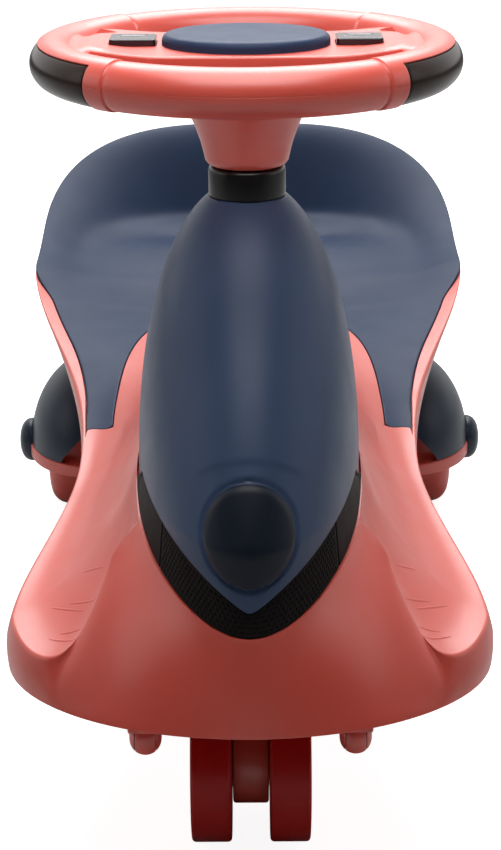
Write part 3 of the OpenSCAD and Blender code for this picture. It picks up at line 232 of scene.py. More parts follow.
def part_way(v, a, b):
    return clamp((v - a) / (b - a))


def sind(a):
    return sin(radians(a))


def cosd(a):
    return cos(radians(a))


def through(xs, zs, x):
    """Height at x of a smooth curve through the places xs, zs."""
    i = int(np.clip(np.searchsorted(xs, x) - 1, 0, len(xs) - 2))
    slopes = np.gradient(zs, xs)
    run = xs[i + 1] - xs[i]
    t = clamp((x - xs[i]) / run)
    return ((1 + 2 * t) * (1 - t) ** 2 * zs[i] + t * (1 - t) ** 2 * run * slopes[i]
            + t * t * (3 - 2 * t) * zs[i + 1] + t * t * (t - 1) * run * slopes[i + 1])


def prow_line(a):
    return through(prow_turns, prow_heights, min(abs(a), prow_angle))


prow_top = prow_line(prow_angle)
flank_from_y = steer_y - (hood_reach + prow_flare) * cosd(prow_angle)


def edge_half(y):
    if y < waist_y:
        return mix(bumper_half * 0.985, waist_half, smooth(part_way(y, bow_y, waist_y)))
    return mix(waist_half, seat_half, smooth(part_way(y, waist_y, seat_y) ** 1.15))


def foot_half(y):
    if y < waist_y:
        return mix(bumper_half, waist_half, smooth(part_way(y, bow_y, waist_y)))
    return mix(waist_half, skirt_half, smooth(part_way(y, waist_y, seat_y)))


def edge_height(y):
    if y < seat_y:
        return mix(foot_h, seat_edge_h, part_way(y, bow_y, seat_y) ** 1.25)
    return mix(seat_edge_h, rim_h, part_way(y, seat_y, rear_y) ** 1.7)


def notch_x(y):
    return 0.0 if y >= notch_end_y else notch_half * (1 - part_way(y, tip_y, notch_end_y) ** 3) ** (1 / 3)


def ridge_x(y):
    if y >= notch_end_y:
        return 0.0
    return (hood_half + prow_flare - ridge_in) * sqrt(1 - part_way(y, hood_rear_y, notch_end_y) ** 2)


def ridge_height(y):
    return mix(ridge_h, pan_h, smooth(part_way(y, hood_rear_y, notch_end_y)))


def band_at(y):
    """Width of the coral edge beside the seat."""
    return mix(tip_band, seat_band, smooth(part_way(y, tip_y, tip_y + tip_run)))


def lip_left(y):
    return 1 - smooth(part_way(y, lap_from_y, lap_to_y))


def ridge_y(y):
    return mix(flank_end_y, basin_end_y, part_way(y, bow_y, basin_end_y)) if y < basin_end_y else y


def deck_x(y):
    if y < steer_y:
        return ridge_x(y)
    return (hood_half + prow_flare - ridge_in) * sqrt(1 - part_way(y, steer_y, basin_end_y) ** 2)


def basin(x, z, ys, ledge, deep):
    return [[x, ys[0], z], [max(x - ledge_step, 0), ys[0], ledge], [max(x - ledge_w, 0), ys[1], ledge],
            [max(x - basin_w, 0), ys[2], deep], [0, ys[2], deep]]


def basin_at(y):
    z = ridge_height(y)
    ledge = ledge_h if y < basin_end_y else z
    return basin(deck_x(y), z, [y, y, y], ledge,
                 mix(plateau_h, ledge, smooth(part_way(y, basin_floor_y, basin_end_y))))


def back_share(t, bend, level):
    """Share of the rim's height: a steep back down to the bend, and a shallow pan inside it."""
    back = level + (1 - level) * (1 - min(t / bend, 1.2) ** 1.5)
    pan = level * ((1 - t) / (1 - bend)) ** 2
    near = max(0.06 - abs(back - pan), 0) / 0.06
    return max(back, pan) + near * near * 0.015


def bowl(row, t):
    """Point of the top between the rim c and the ridge h, at share t of the way."""
    c, h = row["c"], row["h"]
    climb = c[2] + (h[2] - c[2]) * t ** 2.2
    hollow = mix((1 - t) ** 2.5, back_share(t, row["bend"], row["level"]), row["steep"])
    scoop = row["pan"] + (c[2] - row["pan"]) * hollow
    return np.array([mix(c[0], h[0], t), mix(c[1], h[1], t), mix(climb, scoop, row["blend"])])


def new_row(b, c, h, n, inner, pan=0.0, blend=0.0, t_out=0.0, t_in=0.0, drop=0.0, lip=0.0, lip_in=0.0,
            edge=2.6, turn=0.0, steep=0.0, bulge=wall_bow):
    bend = 0.16 + 0.51 * turn
    return {"b": np.array(b, float), "c": np.array(c, float), "h": np.array(h, float),
            "n": np.array([*n, 0.0]), "inner": np.array(inner, float), "pan": pan, "blend": blend,
            "t_out": t_out, "t_in": t_in, "drop": drop, "lip": lip, "lip_in": lip_in, "edge": edge,
            "bulge": bulge, "bend": bend, "steep": steep,
            "level": (1 - bend) ** 2.5 * (1 - 0.7 * turn ** 2)}


def prow_row(s):
    a, e = prow_angle * s, bow_foot_angle * s
    c, ledge, p = [[(hood_half + out) * sind(a), steer_y - (hood_reach + out) * cosd(a), z]
                   for out, z in ((prow_flare, prow_line(a)), (-ledge_in, prow_line(a)),
                                  (-plateau_in, plateau_h - prow_sink))]
    return new_row([bumper_half * sind(e), bow_y - bumper_bow * cosd(e), skirt_h], c, c,
                   [-sind(e), cosd(e)], [c, c, ledge, p, [0, p[1], p[2]]],
                   bulge=mix(wall_bow, flank_bow, smooth((s - 0.3) / 0.7)))


# The footrest's lip from the hood's flank round to the side: place along the bumper's
# bow, across, ahead of the bow's root, and height, with one place beyond each end
lip_shares = np.array([
    [0.32, 0.4340, -0.12, 1.10], [0.36, 0.4515, -0.0954, 1], [0.43, 0.545, 0.04, 0.79],
    [0.485, 0.606, 0.22, 0.431], [0.54, 0.6685, 0.38, 0.163], [0.60, 0.736, 0.49, 0.031],
    [0.67, 0.804, 0.495, -0.033], [0.76, 0.8827, 0.395, -0.047], [0.88, 0.9485, 0.21, -0.02],
    [1, 0.985, 0, 0], [1.12, 0.983, -0.2, 0.036]])


def along(table, at):
    """A place between the rows of a table, on a smooth curve through them."""
    i = int(min(max(at, 0), len(table) - 3.000001))
    t = at - i
    p0, p1, p2, p3 = table[i:i + 4]
    return 0.5 * (2 * p1 + (p2 - p0) * t + (2 * p0 - 5 * p1 + 4 * p2 - p3) * t * t
                  + (3 * p1 - p0 - 3 * p2 + p3) * t ** 3)


def lip_row(s):
    q = along(lip_shares, 8 * s)
    e = 90 * min(q[0], 1)
    y = mix(flank_from_y, flank_end_y, s)
    flank = (hood_half + prow_flare) * sqrt(1 - ((y - steer_y) / (hood_reach + prow_flare)) ** 2)
    h = [flank - ridge_in * s, y, mix(prow_top, ridge_h, s)]
    ledge_y, basin_y = [mix(steer_y - (hood_reach - inset) * cosd(prow_angle), flank_end_y, s)
                        for inset in (ledge_in, plateau_in)]
    return new_row([bumper_half * sind(e), bow_y - bumper_bow * cosd(e), skirt_h],
                   [bumper_half * q[1], bow_y - bumper_bow * q[2], mix(foot_h, prow_top, q[3])], h,
                   [-sind(e), cosd(e)],
                   basin(h[0], h[2], [y, ledge_y, basin_y], min(ledge_h, h[2]),
                         plateau_h - prow_sink * (1 - s)),
                   t_out=0.12, t_in=0.88, edge=mix(10.0, 2.2, smooth(s / 0.4)),
                   bulge=mix(flank_bow, wall_bow, smooth(s / 0.62)))


def side_row(y, seated):
    hy = ridge_y(y)
    c, h = [edge_half(y), y, edge_height(y)], [ridge_x(hy), hy, ridge_height(hy)]
    run = c[0] - h[0]
    near = smooth(part_way(y, bow_y, tip_y))
    row = new_row([foot_half(y), y, skirt_h], c, h, [-1, 0], basin_at(hy), pan_h,
                  smooth(part_way(y, waist_y, seat_y)), mix(0.12, tip_band / run, near),
                  mix(0.88, (c[0] - notch_half) / run, near), steep=smooth(part_way(y, lap_from_y, round_y)))
    if seated:
        row.update(t_out=band_at(y) * lip_left(y) / run, t_in=(c[0] - notch_x(y)) / run, drop=recess,
                   lip=recess * lip_left(y), lip_in=recess if y < notch_end_y else 0.0)
    return row


def round_row(a):
    sx, sy = max(cosd(a), 0) ** (2 / 3), sind(a) ** (2 / 3)
    y = mix(round_y, rear_y, sy)
    s = [0, mix(round_y, pan_end_y, a / 90), pan_h + pan_rise * (a / 90) ** 1.3]
    return new_row([skirt_half * sx, mix(round_y, rear_y - rear_lean, sy), skirt_h],
                   [seat_half * sx, y, edge_height(y)], s, [-cosd(a), -sind(a)], [s] * 5, s[2], 1.0,
                   0.0, 1.0, recess, turn=a / 90, steep=1.0)


def up(point, rise):
    return np.array([point[0], point[1], point[2] + rise])


def steps(low, high, count):
    return [mix(low, high, i / count) for i in range(count + 1)]


def resampled(line, count, cut_from, cut_to):
    """A polyline cut back at its two ends and laid out again in even steps."""
    line = np.asarray(line, float)
    run = np.concatenate([[0], np.cumsum(np.linalg.norm(np.diff(line, axis=0), axis=1))])
    at = np.linspace(cut_from, max(run[-1] - cut_to, cut_from), count)
    if run[-1] < 1e-6:
        return np.repeat(line[:1], count, axis=0)
    return np.stack([np.interp(at, run, line[:, i]) for i in range(3)], axis=1)


def rounded(parts, counts, radii, corner_steps):
    """Joins polylines end to end and rounds the corner between each two of them."""
    lengths = [np.linalg.norm(np.diff(np.asarray(p), axis=0), axis=1).sum() for p in parts]
    cuts = [min(r, 0.45 * lengths[i], 0.45 * lengths[i + 1]) for i, r in enumerate(radii)]
    line = []
    for i, part in enumerate(parts):
        piece = resampled(part, counts[i], cuts[i - 1] if i else 0, cuts[i] if i < len(cuts) else 0)
        if i:
            start, corner, end = line[-1], np.asarray(part[0]), piece[0]
            line += [(1 - t) ** 2 * start + 2 * t * (1 - t) * corner + t * t * end
                     for t in steps(0, 1, corner_steps)[1:-1]]
        line += list(piece)
    return np.array(line)


wall_points = 22


def body_half(row):
    """Outer half row: wall, edge band, seat recess, deck and the basin under the hood."""
    raised, lowered = row["lip"] - row["drop"], -row["drop"]
    b, c, n = row["b"], up(row["c"], raised), row["n"]
    wall = [mix(b, c, s) - row["bulge"] * n * sin(pi * s) for s in steps(0, 1, 24)]
    band = [up(bowl(row, t), raised) for t in steps(0, row["t_out"], 6)]
    well = [up(bowl(row, t), lowered) for t in steps(row["t_out"], row["t_in"], 36)]
    deck = [up(bowl(row, t), row["lip_in"] + lowered) for t in steps(row["t_in"], 1, 8)]
    inner = [up(p, row["lip_in"] + lowered) for p in row["inner"]]
    under = mix(b, b + body_wall * n, 0.5)
    parts = [[under, b], wall, band, [band[-1], well[0]], well, [well[-1], deck[0]], deck,
             [deck[-1], inner[0]], [inner[0], inner[1]], [inner[1], inner[2]],
             [inner[2], inner[3]], [inner[3], inner[4]]]
    step = 0.7 if row["drop"] else 0.0
    return rounded(parts, [2, wall_points, 7, 2, 34, 2, 9, 2, 2, 3, 6, 4],
                   [1.2, row["edge"], step, step, step, step, 0.6, 0.6, 0.8, 2, 2], 6)


def body_inner_half(row):
    """Inner half row: the wall moved in and the top moved down by the wall's thickness."""
    raised, lowered = row["lip"] - row["drop"], -row["drop"]
    b, c, n = row["b"], up(row["c"], raised), row["n"]
    extra = 9.0 if n[1] < 0 else 6.0
    slope = max(0.0, float((b - c) @ n)) / (c[2] - b[2])
    line = []
    for s in (0, 0.35, 0.7):
        p = mix(b, c, s) - wall_bow * n * sin(pi * s)
        line.append(up(p + n * (body_wall + slope * extra * s), -extra * s))
    inner = [up(p, row["lip_in"] + lowered) for p in row["inner"]]
    top = [c] + [up(bowl(row, t), lowered) for t in steps(row["t_out"], row["t_in"], 8)]
    top += [up(row["h"], row["lip_in"] + lowered)] + inner
    for i, p in enumerate(top):
        away = hypot(p[0] - c[0], p[1] - c[1])
        depth = body_wall + extra * max(0.0, 1 - away / 20)
        keep = body_wall + (4 * slope if i else 0)
        q = up(p + n * max(0.0, keep + slope * (c[2] - p[2] + depth) - away), -depth)
        line.append(np.array([max(q[0], 0), q[1], q[2]]))
    return np.array(line)


def mirrored(half):
    return np.concatenate([half, half[-2::-1] * [-1, 1, 1]])


def ring_faces(rows, columns, base=0, around=True, closed=True):
    """Quads over rows of points: around joins the last row to the first, closed the ends of each row."""
    return [(base + j * columns + k, base + j * columns + (k + 1) % columns,
             base + (j + 1) % rows * columns + (k + 1) % columns, base + (j + 1) % rows * columns + k)
            for j in range(rows if around else rows - 1) for k in range(columns if closed else columns - 1)]


def grid_faces(rows, columns, base=0):
    return ring_faces(rows, columns, base, around=False, closed=False)


def mesh_object(name, points, faces, material, body, slot, sharp=40):
    """A smooth-shaded piece from points in millimetres, welded and with its faces turned out."""
    mesh = bpy.data.meshes.new(name)
    mesh.from_pydata((np.asarray(points, float) / 1000).tolist(), [], faces)
    shape = bmesh.new()
    shape.from_mesh(mesh)
    bmesh.ops.remove_doubles(shape, verts=shape.verts, dist=2e-6)
    bmesh.ops.dissolve_degenerate(shape, edges=shape.edges, dist=1e-6)
    bmesh.ops.recalc_face_normals(shape, faces=shape.faces)
    shape.to_mesh(mesh)
    shape.free()
    for face in mesh.polygons:
        face.use_smooth = True
    mesh.set_sharp_from_angle(angle=radians(sharp))
    mesh.materials.append(material)
    made = bpy.data.objects.new(name, mesh)
    scene.collection.objects.link(made)
    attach(made, body)
    return made


tip_step = 0.6
prow_body_rows = [prow_row(s) for s in steps(0, 1, 44)]
lip_body_rows = [lip_row(s) for s in steps(0, 1, 60)[1:]]
body_rows = prow_body_rows + lip_body_rows
body_rows += [side_row(y, False) for y in steps(bow_y, basin_end_y, 40)[1:]]
body_rows += [side_row(y, False) for y in steps(basin_end_y, tip_y, 14)[1:]]
seated_ys = [tip_y + d for d in (0.6, 0.9, 1.4, 2.0, 2.8, 3.7, 4.8)] + steps(tip_y + 6.5, notch_end_y, 50)
pan_ys = steps(notch_end_y, round_y, 24)[1:]
round_angles = [90 * (i / 40) ** 1.15 for i in range(1, 41)]
body_rows += [side_row(y, True) for y in seated_ys + pan_ys]
body_rows += [round_row(a) for a in round_angles]
halves = [body_half(r) for r in body_rows]

# The front wall is stretched between its edges like a sheet, and the footrest's top is
# evened out along its length between the lip and the ridge
front_rows = len(prow_body_rows) + len(lip_body_rows)
wall_at, top_at, top_to = 7, 34, 108
sheet_passes, sheet_over, fade_from, fade_rows = 60, 12, 8, 26
even_passes, even_over, front_hold, back_hold = 400, 44, 14, 10
sheet = np.array([h[wall_at:wall_at + wall_points] for h in halves[:front_rows + sheet_over]])
for _ in range(sheet_passes):
    before = np.concatenate([sheet[1:2] * [-1, 1, 1], sheet[:-1]])
    after = np.concatenate([sheet[1:], sheet[-1:]])
    even = (before[:, 1:-1] + after[:, 1:-1] + sheet[:, :-2] + sheet[:, 2:]) / 4
    sheet[:-1, 1:-1] = even[:-1]
for j, (half, line) in enumerate(zip(halves, sheet)):
    plain = smooth((j - len(prow_body_rows) - fade_from) / fade_rows)
    half[wall_at:wall_at + wall_points] = mix(line, half[wall_at:wall_at + wall_points], plain)
rest_from, rest_to = len(prow_body_rows) + 2, front_rows + even_over
rest = np.array([h[top_at:top_to] for h in halves[rest_from:rest_to]])
rest_at = np.arange(len(rest))
row_hold = np.minimum(rest_at / front_hold, rest_at[::-1] / back_hold).clip(0, 1)
plan = np.linalg.norm(rest[:, :, :2] - rest[:, :1, :2], axis=2)
plan = plan / plan[:, -1:]
column_hold = np.minimum(plan / 0.45, (1 - plan) / 0.15).clip(0, 1)
heights = rest[:, :, 2]
for _ in range(even_passes):
    before, after = np.concatenate([heights[:1], heights[:-1]]), np.concatenate([heights[1:], heights[-1:]])
    pull = (before + after) / 2 - heights
    heights = heights + 0.5 * pull * row_hold[:, None] * column_hold
for half, line in zip(halves[rest_from:rest_to], heights):
    half[top_at:top_to, 2] = line

# The tongue's tip lies askew: points of the top slide back along the surface beside it
slide_out, slide_in, slide_run = 20.0, 12.0, 70.0


def slide(points, y):
    """Points of the top in the row at y, moved back along the surface near the tongue's tip."""
    near = 1 - smooth(abs(y - tip_y) / slide_run)
    if near == 0:
        return points
    row, moved = side_row(y, True), []
    for p in points:
        t = clamp((row["c"][0] - p[0]) / (row["c"][0] - row["h"][0]))
        if t < 0.11:
            far = slide_out * smooth(t / 0.08)
        else:
            far = mix(slide_out, slide_in, smooth((t - 0.11) / 0.33)) * (1 - smooth((t - 0.44) / 0.4))
        new = bowl(side_row(y + far * near, True), t)
        moved.append((new[0], new[1], p[2] + new[2] - bowl(row, t)[2]))
    return np.array(moved)


side_ys = steps(bow_y, basin_end_y, 40)[1:] + steps(basin_end_y, tip_y, 14)[1:] + seated_ys + pan_ys
for half, y in zip(halves[front_rows:], side_ys):
    if y > basin_end_y:
        half[top_at:top_to] = slide(half[top_at:top_to], y)

outer = [mirrored(h) for h in halves]
inner = [mirrored(body_inner_half(r)) for r in body_rows]
outer_columns, inner_columns = len(outer[0]), len(inner[0])
body_points = np.concatenate(outer + inner)
inner_base = len(outer) * outer_columns
body_faces = grid_faces(len(outer), outer_columns)
body_faces += [f[::-1] for f in grid_faces(len(inner), inner_columns, inner_base)]
for j in range(len(outer) - 1):
    for out_k, in_k in ((0, 0), (outer_columns - 1, inner_columns - 1)):
        out_at, in_at = j * outer_columns + out_k, inner_base + j * inner_columns + in_k
        body_faces.append((out_at, out_at + outer_columns, in_at + inner_columns, in_at))

# Five low grip ribs are moulded on each footrest
foot_ribs = [((93.6, -278.0), (79.7, -289.9)), ((99.5, -301.2), (83.0, -313.2)),
             ((109.9, -297.1), (89.2, -315.9)), ((102.4, -327.1), (89.9, -331.6)),
             ((108.5, -329.2), (91.5, -341.0))]
rib_half, rib_rise, rib_sunk, rib_steps, overhead = 1.0, 0.55, 0.15, 14, 300
skin = BVHTree.FromPolygons([tuple(p) for p in body_points], body_faces)
rib_points, rib_faces = [], []
for side in (-1, 1):
    for start, end in foot_ribs:
        start, end = np.array(start), np.array(end)
        along_rib = (end - start) / np.linalg.norm(end - start)
        beside = np.array([-along_rib[1], along_rib[0]])
        base = len(body_points) + len(rib_points)
        for t in steps(0, 1, rib_steps):
            swell = (4 * t * (1 - t)) ** 0.35
            for u in (-1, -0.5, 0, 0.5, 1):
                x, y = mix(start, end, t) + beside * u * rib_half * max(swell, 0.05)
                ground = skin.ray_cast(Vector((side * x, y, overhead)), Vector((0, 0, -1)))[0][2]
                rib_points.append((side * x, y, ground - rib_sunk + rib_rise * swell * (1 - u * u)))
        rib_faces += grid_faces(rib_steps + 1, 5, base)
body_points = np.concatenate([body_points, np.array(rib_points)])
body_faces += rib_faces


def moulded(name, colour, shade, worn, roughness, grain, specular=0.5):
    """Moulded plastic: a little cloudy in colour, finely textured by the mould, handled to a
    patchy gloss, and rubbed paler along its edges."""
    material = bpy.data.materials.new(name)
    material.use_nodes = True
    shader = material.node_tree.nodes["Principled BSDF"]
    value = Tone(material.node_tree)
    place = value.node("ShaderNodeTexCoord", {}, {}, "Object")
    cloud = value.node("ShaderNodeTexNoise", {}, {"Vector": place, "Scale": 14.0, "Detail": 3.0})
    patch = value.node("ShaderNodeTexNoise", {}, {"Vector": place, "Scale": 45.0, "Detail": 4.0})
    fleck = value.node("ShaderNodeTexNoise", {}, {"Vector": place, "Scale": 1500.0, "Detail": 2.0})
    swirl = value.node("ShaderNodeTexNoise", {"noise_dimensions": "3D"},
                       {"Vector": place, "Scale": 220.0, "Detail": 5.0, "Distortion": 1.5})
    edge = value.node("ShaderNodeNewGeometry", {}, {}, "Pointiness").between(0.53, 0.64)
    scuff = edge * swirl.between(0.45, 0.7)
    base = cloud.between(0.3, 0.7).tint(colour, shade)
    (scuff * 0.4).tint(base, worn).into(shader, "Base Color")
    patchy = patch.between(0.25, 0.75) * 0.09 + scuff * 0.12 + swirl * 0.05
    (patchy + (roughness - 0.07)).into(shader, "Roughness")
    bump = value.node("ShaderNodeBump", {}, {"Height": fleck + patch * 0.6, "Strength": grain,
                                             "Distance": 0.0004})
    bump.into(shader, "Normal")
    shader.inputs["IOR"].default_value = 1.49
    shader.inputs["Specular IOR Level"].default_value = specular
    return material


coral_plastic = moulded("coral_plastic", light(209, 82, 68), light(204, 77, 63), light(230, 130, 116),
                        0.36, 0.10, 0.8)
body = mesh_object("body_moulding", body_points, body_faces, coral_plastic, "chassis", "coral_plastic")
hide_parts("body_shell")


# Seat panel: a navy moulding three millimetres thick, pressed into the body's recess. Its
# two tongues run forward beside the hood and its pan climbs into the backrest.
tip_inner_round, tip_outer_round, seam = 4.5, 1.6, 0.6


def tip_cut(y, radius):
    """How far a round corner of the tongue's tip cuts in at y."""
    d = y - tip_y - tip_step
    return 0.0 if d >= radius else radius - sqrt(radius ** 2 - (radius - d) ** 2)


def seat_half_row(row, y):
    """Top half row of the seat, from its outer edge to its inner edge."""
    run = row["c"][0] - row["h"][0]
    t_out = ((band_at(y) + seam) * lip_left(y) + tip_cut(y, tip_outer_round)) / run
    gap = seam + tip_cut(y, tip_inner_round) if notch_x(y) > 0 else 0
    t_in = (row["c"][0] - notch_x(y) - gap) / run
    return slide([bowl(row, t) for t in steps(t_out, t_in, 36)], y)


seat_ys = [tip_y + tip_step + seat_gap] + [y for y in seated_ys if y > tip_y + 2 * tip_step] + pan_ys
seat_tops = [(seat_half_row(side_row(y, True), y), notch_x(y) > 0) for y in seat_ys]
for a in round_angles:
    row = round_row(a)
    seat_tops.append(([bowl(row, t) for t in steps(0, 1, 36)], False))


def seat_section(top, open_inside):
    """Half section: up the outer edge, over the top and down the inner edge."""
    rise = [up(top[0], -trim_wall), top[0]]
    fall = [top[-1], up(top[-1], -trim_wall)]
    parts = [rise, top, fall] if open_inside else [rise, top, [top[-1], top[-1]]]
    return rounded(parts, [3, 40, 3], [1.3, 1.0 if open_inside else 0], 4)


seat_lines = [seat_section(*t) for t in seat_tops]
seat_under = [np.array([up(p, -trim_wall) for p in resampled(t[0], 12, 0, 0)]) for t in seat_tops]
top_columns, under_columns = len(seat_lines[0]), len(seat_under[0])
seat_points = np.concatenate(seat_lines + seat_under)
under_base = len(seat_lines) * top_columns
seat_faces = grid_faces(len(seat_lines), top_columns)
seat_faces += [f[::-1] for f in grid_faces(len(seat_under), under_columns, under_base)]
for j in range(len(seat_lines) - 1):
    o, u = j * top_columns, under_base + j * under_columns
    seat_faces.append((o, o + top_columns, u + under_columns, u))
    if seat_tops[j][1]:
        seat_faces.append((o + 2 * top_columns - 1, o + top_columns - 1, u + under_columns - 1,
                           u + 2 * under_columns - 1))
seat_faces.append([*range(top_columns)] + [under_base + k for k in range(under_columns - 1, -1, -1)])
count = len(seat_points)
seat_all = np.concatenate([seat_points, seat_points * [-1, 1, 1]])
seat_faces += [tuple(i + count for i in reversed(f)) for f in seat_faces]
seat_plastic = moulded("seat_plastic", light(39, 54, 81), light(35, 49, 75), light(84, 98, 120),
                       0.45, 0.12, 0.12)
seat = mesh_object("seat_moulding", seat_all, seat_faces, seat_plastic, "chassis", "navy_plastic")
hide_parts("seat_panel")


# Console hood: an egg-shaped navy moulding over the steering column, three millimetres
# thick, held down by the column's collar. Its lip climbs from the nose to the ridge, and
# its nose has a shallow brow and a groove round the disc.
lip_h, lip_rise, lip_soft = 161.0, 43.0, 0.06
lip_drop_from, lip_drop_to = 70, 86
neck_bore, neck_half = 17.3, 21.1
disc_half, disc_rise, disc_z = 23.3, 24.8, 199.6
brow_h, brow_bend, brow_angle, brow_sink = 235.9, 0.0138, 30.0, 0.7
brow_foot, brow_fade, groove_sink = 190, 34, 1.3


def egg_t(z):
    return part_way(z, hood_waist_h, neck_h + egg_over)


def egg_half(z):
    return max(neck_half, hood_half * (1 - egg_t(z) ** 2) ** (1 / 2.2))


def egg_reach(z, front):
    nose = (1 - part_way(z, hood_waist_h, neck_h)) ** 0.8
    return egg_half(z) * mix(1, (hood_reach if front else hood_back) / hood_half, nose)


def egg_point(a, z, out):
    return np.array([(egg_half(z) + out) * sind(a),
                     steer_y - (egg_reach(z, cosd(a) > 0) + out) * cosd(a), z])


def lip_height(a):
    if cosd(a) < 0:
        return ledge_h + seat_gap
    climb = (sqrt(sind(a) ** 2 + lip_soft ** 2) - lip_soft) ** 0.9
    return mix(lip_h + lip_rise * climb, ledge_h + seat_gap,
               smooth(part_way(abs(sind(a)), sind(lip_drop_from), sind(lip_drop_to))))


def nose_relief(a, z):
    """How far the hood's skin lies back at its brow and in the groove round the disc."""
    if cosd(a) < 0.5:
        return 0.0
    brow = (smooth((brow_h - brow_bend * a * a - z) / 3.5) * smooth((brow_angle - abs(a)) / 9)
            * smooth((z - brow_foot) / brow_fade))
    ring = hypot(hood_half * sind(a) / disc_half, (z - disc_z) / disc_rise)
    groove = smooth((ring - 0.97) / 0.03) * smooth((1.11 - ring) / 0.06)
    return -brow_sink * brow - groove_sink * groove


fine_from, fine_step, wide_step = -38, 0.75, 2.4
fine_turns = [fine_from + fine_step * i for i in range(102)]
hood_turns = fine_turns + [fine_turns[-1] + wide_step + wide_step * i for i in range(118)]
hood_turns = [a for a in hood_turns if a < 360 + fine_from - 1.5]
level_shares = steps(0, 0.5, 84) + [mix(0.5, 1, sind(90 * k / 40)) for k in range(1, 41)]
hood_lines = []
for a in hood_turns:
    a = a if a < 180 else a - 360
    low = lip_height(a)
    outside = []
    for s in level_shares:
        z = mix(low, neck_h, s)
        outside.append(egg_point(a, z, nose_relief(a, z)))
    inside = []
    for k in range(24, -1, -1):
        z = mix(low, neck_h, sind(90 * k / 24))
        p = egg_point(a, z, -trim_wall)
        if hypot(p[0], p[1] - steer_y) < neck_bore:
            p = np.array([neck_bore * sind(a), steer_y - neck_bore * cosd(a), z])
        inside.append(p)
    hood_lines.append(rounded([[inside[-1], outside[0]], outside, [outside[-1], inside[0]], inside],
                              [3, 150, 3, 20], [1.2, 1, 0.6], 5))


# The hood's navy is a lighter copy of the seat's navy plastic: painted light, standing in for the light that
# falls on the hood from the front and above.
navy_plastic = moulded("navy_plastic", light(60, 76, 104), light(55, 70, 97), light(96, 110, 132),
                       0.4, 0.12, 0.2)
hood_faces = ring_faces(len(hood_lines), len(hood_lines[0]))
hood = mesh_object("hood_moulding", np.concatenate(hood_lines), hood_faces, navy_plastic, "chassis",
                   "navy_plastic")
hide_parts("console_hood")


# Grille band: a black strip of moulded mesh that closes the gap between the hood's lip and
# the prow, with a plain glossy end on each side. It is clipped in from behind.
band_angle, band_mesh_angle = 85.0, 48.0
band_proud, band_tuck, mesh_margin, split_half, split_deep = 1.8, 1.2, 1.2, 0.35, 0.7
dimple_pitch, dimple_half, dimple_depth = 3.0, 1.15, 0.8
dimple_row = dimple_pitch * 0.866
band_rows, band_levels = 420, 36


def band_foot(a):
    """Height of the prow, and then of the ridge, that the band stands on."""
    y = steer_y - (hood_reach + prow_flare) * cosd(a)
    ridge = mix(prow_top, ridge_h, part_way(y, flank_from_y, flank_end_y))
    return seat_gap + min(ledge_h, prow_line(a) if abs(a) < prow_angle else ridge)


def dimple(u, v):
    """Depth of the nearest dimple, in rows set half a pitch apart."""
    row = round(v / dimple_row)
    shift = 0.5 * dimple_pitch * (row % 2)
    du = (u - shift + dimple_pitch / 2) % dimple_pitch - dimple_pitch / 2
    return dimple_depth * smooth((1 - hypot(du, v - row * dimple_row) / dimple_half) / 0.5)


band_lines = []
way = 0.0
last_foot = None
for i in range(band_rows + 1):
    a = mix(-band_angle, band_angle, i / band_rows)
    foot = egg_point(a, band_foot(a), band_proud)
    head = egg_point(a, lip_height(a) - seat_gap, -band_tuck)
    way += 0.0 if last_foot is None else float(np.linalg.norm((foot - last_foot)[:2]))
    last_foot = foot
    out = np.array([sind(a), -cosd(a), 0])
    tall = head[2] - foot[2]
    split = split_deep if abs(abs(a) - band_mesh_angle) < split_half else 0
    face = []
    for s in steps(0, 1, band_levels):
        v = tall * s
        inset = min(v, tall - v)
        meshed = smooth(band_mesh_angle - 1 - abs(a)) * smooth((inset - mesh_margin) / 0.6)
        face.append(mix(foot, head, s) - out * (dimple(way, v) * meshed + split))
    back = trim_wall * out
    band_lines.append(rounded([[foot - back, foot], face, [head, head - back]], [2, 40, 2], [0.6, 0.6], 4))


def capped(rows):
    """Points and faces of a bar through its closed sections, with a face on each end."""
    columns = len(rows[0])
    faces = ring_faces(len(rows), columns, around=False)
    faces += [[j * columns + k for k in range(columns)] for j in (0, len(rows) - 1)]
    return np.concatenate(rows), faces


black_plastic = moulded("black_plastic", light(22, 17, 16), light(18, 14, 14), light(40, 34, 32),
                        0.65, 0.06, 0.12)
band = mesh_object("grille_strip", *capped(band_lines), black_plastic, "chassis", "black_plastic")
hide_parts("grille_band")


# Nose disc: a round plain badge of darker navy with a round edge, snapped into the front of
# the hood, where a groove runs round it.
def on_nose(x, z, out):
    return np.array([x, steer_y - egg_reach(z, True) * sqrt(1 - (x / egg_half(z)) ** 2) - out, z])


def disc_point(s, a, out):
    return on_nose(disc_half * s * cosd(a), disc_z + disc_rise * s * sind(a), out)


disc_sides = 144
disc_profile = [(s, 1.9) for s in (0.0, 0.2, 0.4, 0.6, 0.76, 0.86)]
disc_profile += [(0.9, 1.86), (0.93, 1.72), (0.955, 1.45), (0.975, 1.05), (0.99, 0.5), (1.0, -0.2),
                 (1.0, -1.4)]
disc_points = [disc_point(s, 360 * i / disc_sides, out)
               for i in range(disc_sides) for s, out in disc_profile]
disc_faces = ring_faces(disc_sides, len(disc_profile), closed=False)
disc_faces.append([(i + 1) * len(disc_profile) - 1 for i in range(disc_sides)])
badge_plastic = moulded("badge_plastic", light(20, 27, 40), light(17, 24, 36), light(54, 66, 84),
                        0.45, 0.04, 0.25)
disc = mesh_object("nose_badge", disc_points, disc_faces, badge_plastic, "chassis", "navy_plastic")
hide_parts("nose_disc")


# Column: a black sleeve screwed to the body, a nylon bush pressed into its foot, and a
# black collar turned with a round head that closes the hood's neck.
def dress(material, *names):
    """Gives CAD solids that keep their own shape a finish."""
    for name in names:
        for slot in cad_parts[name].material_slots:
            slot.material = material


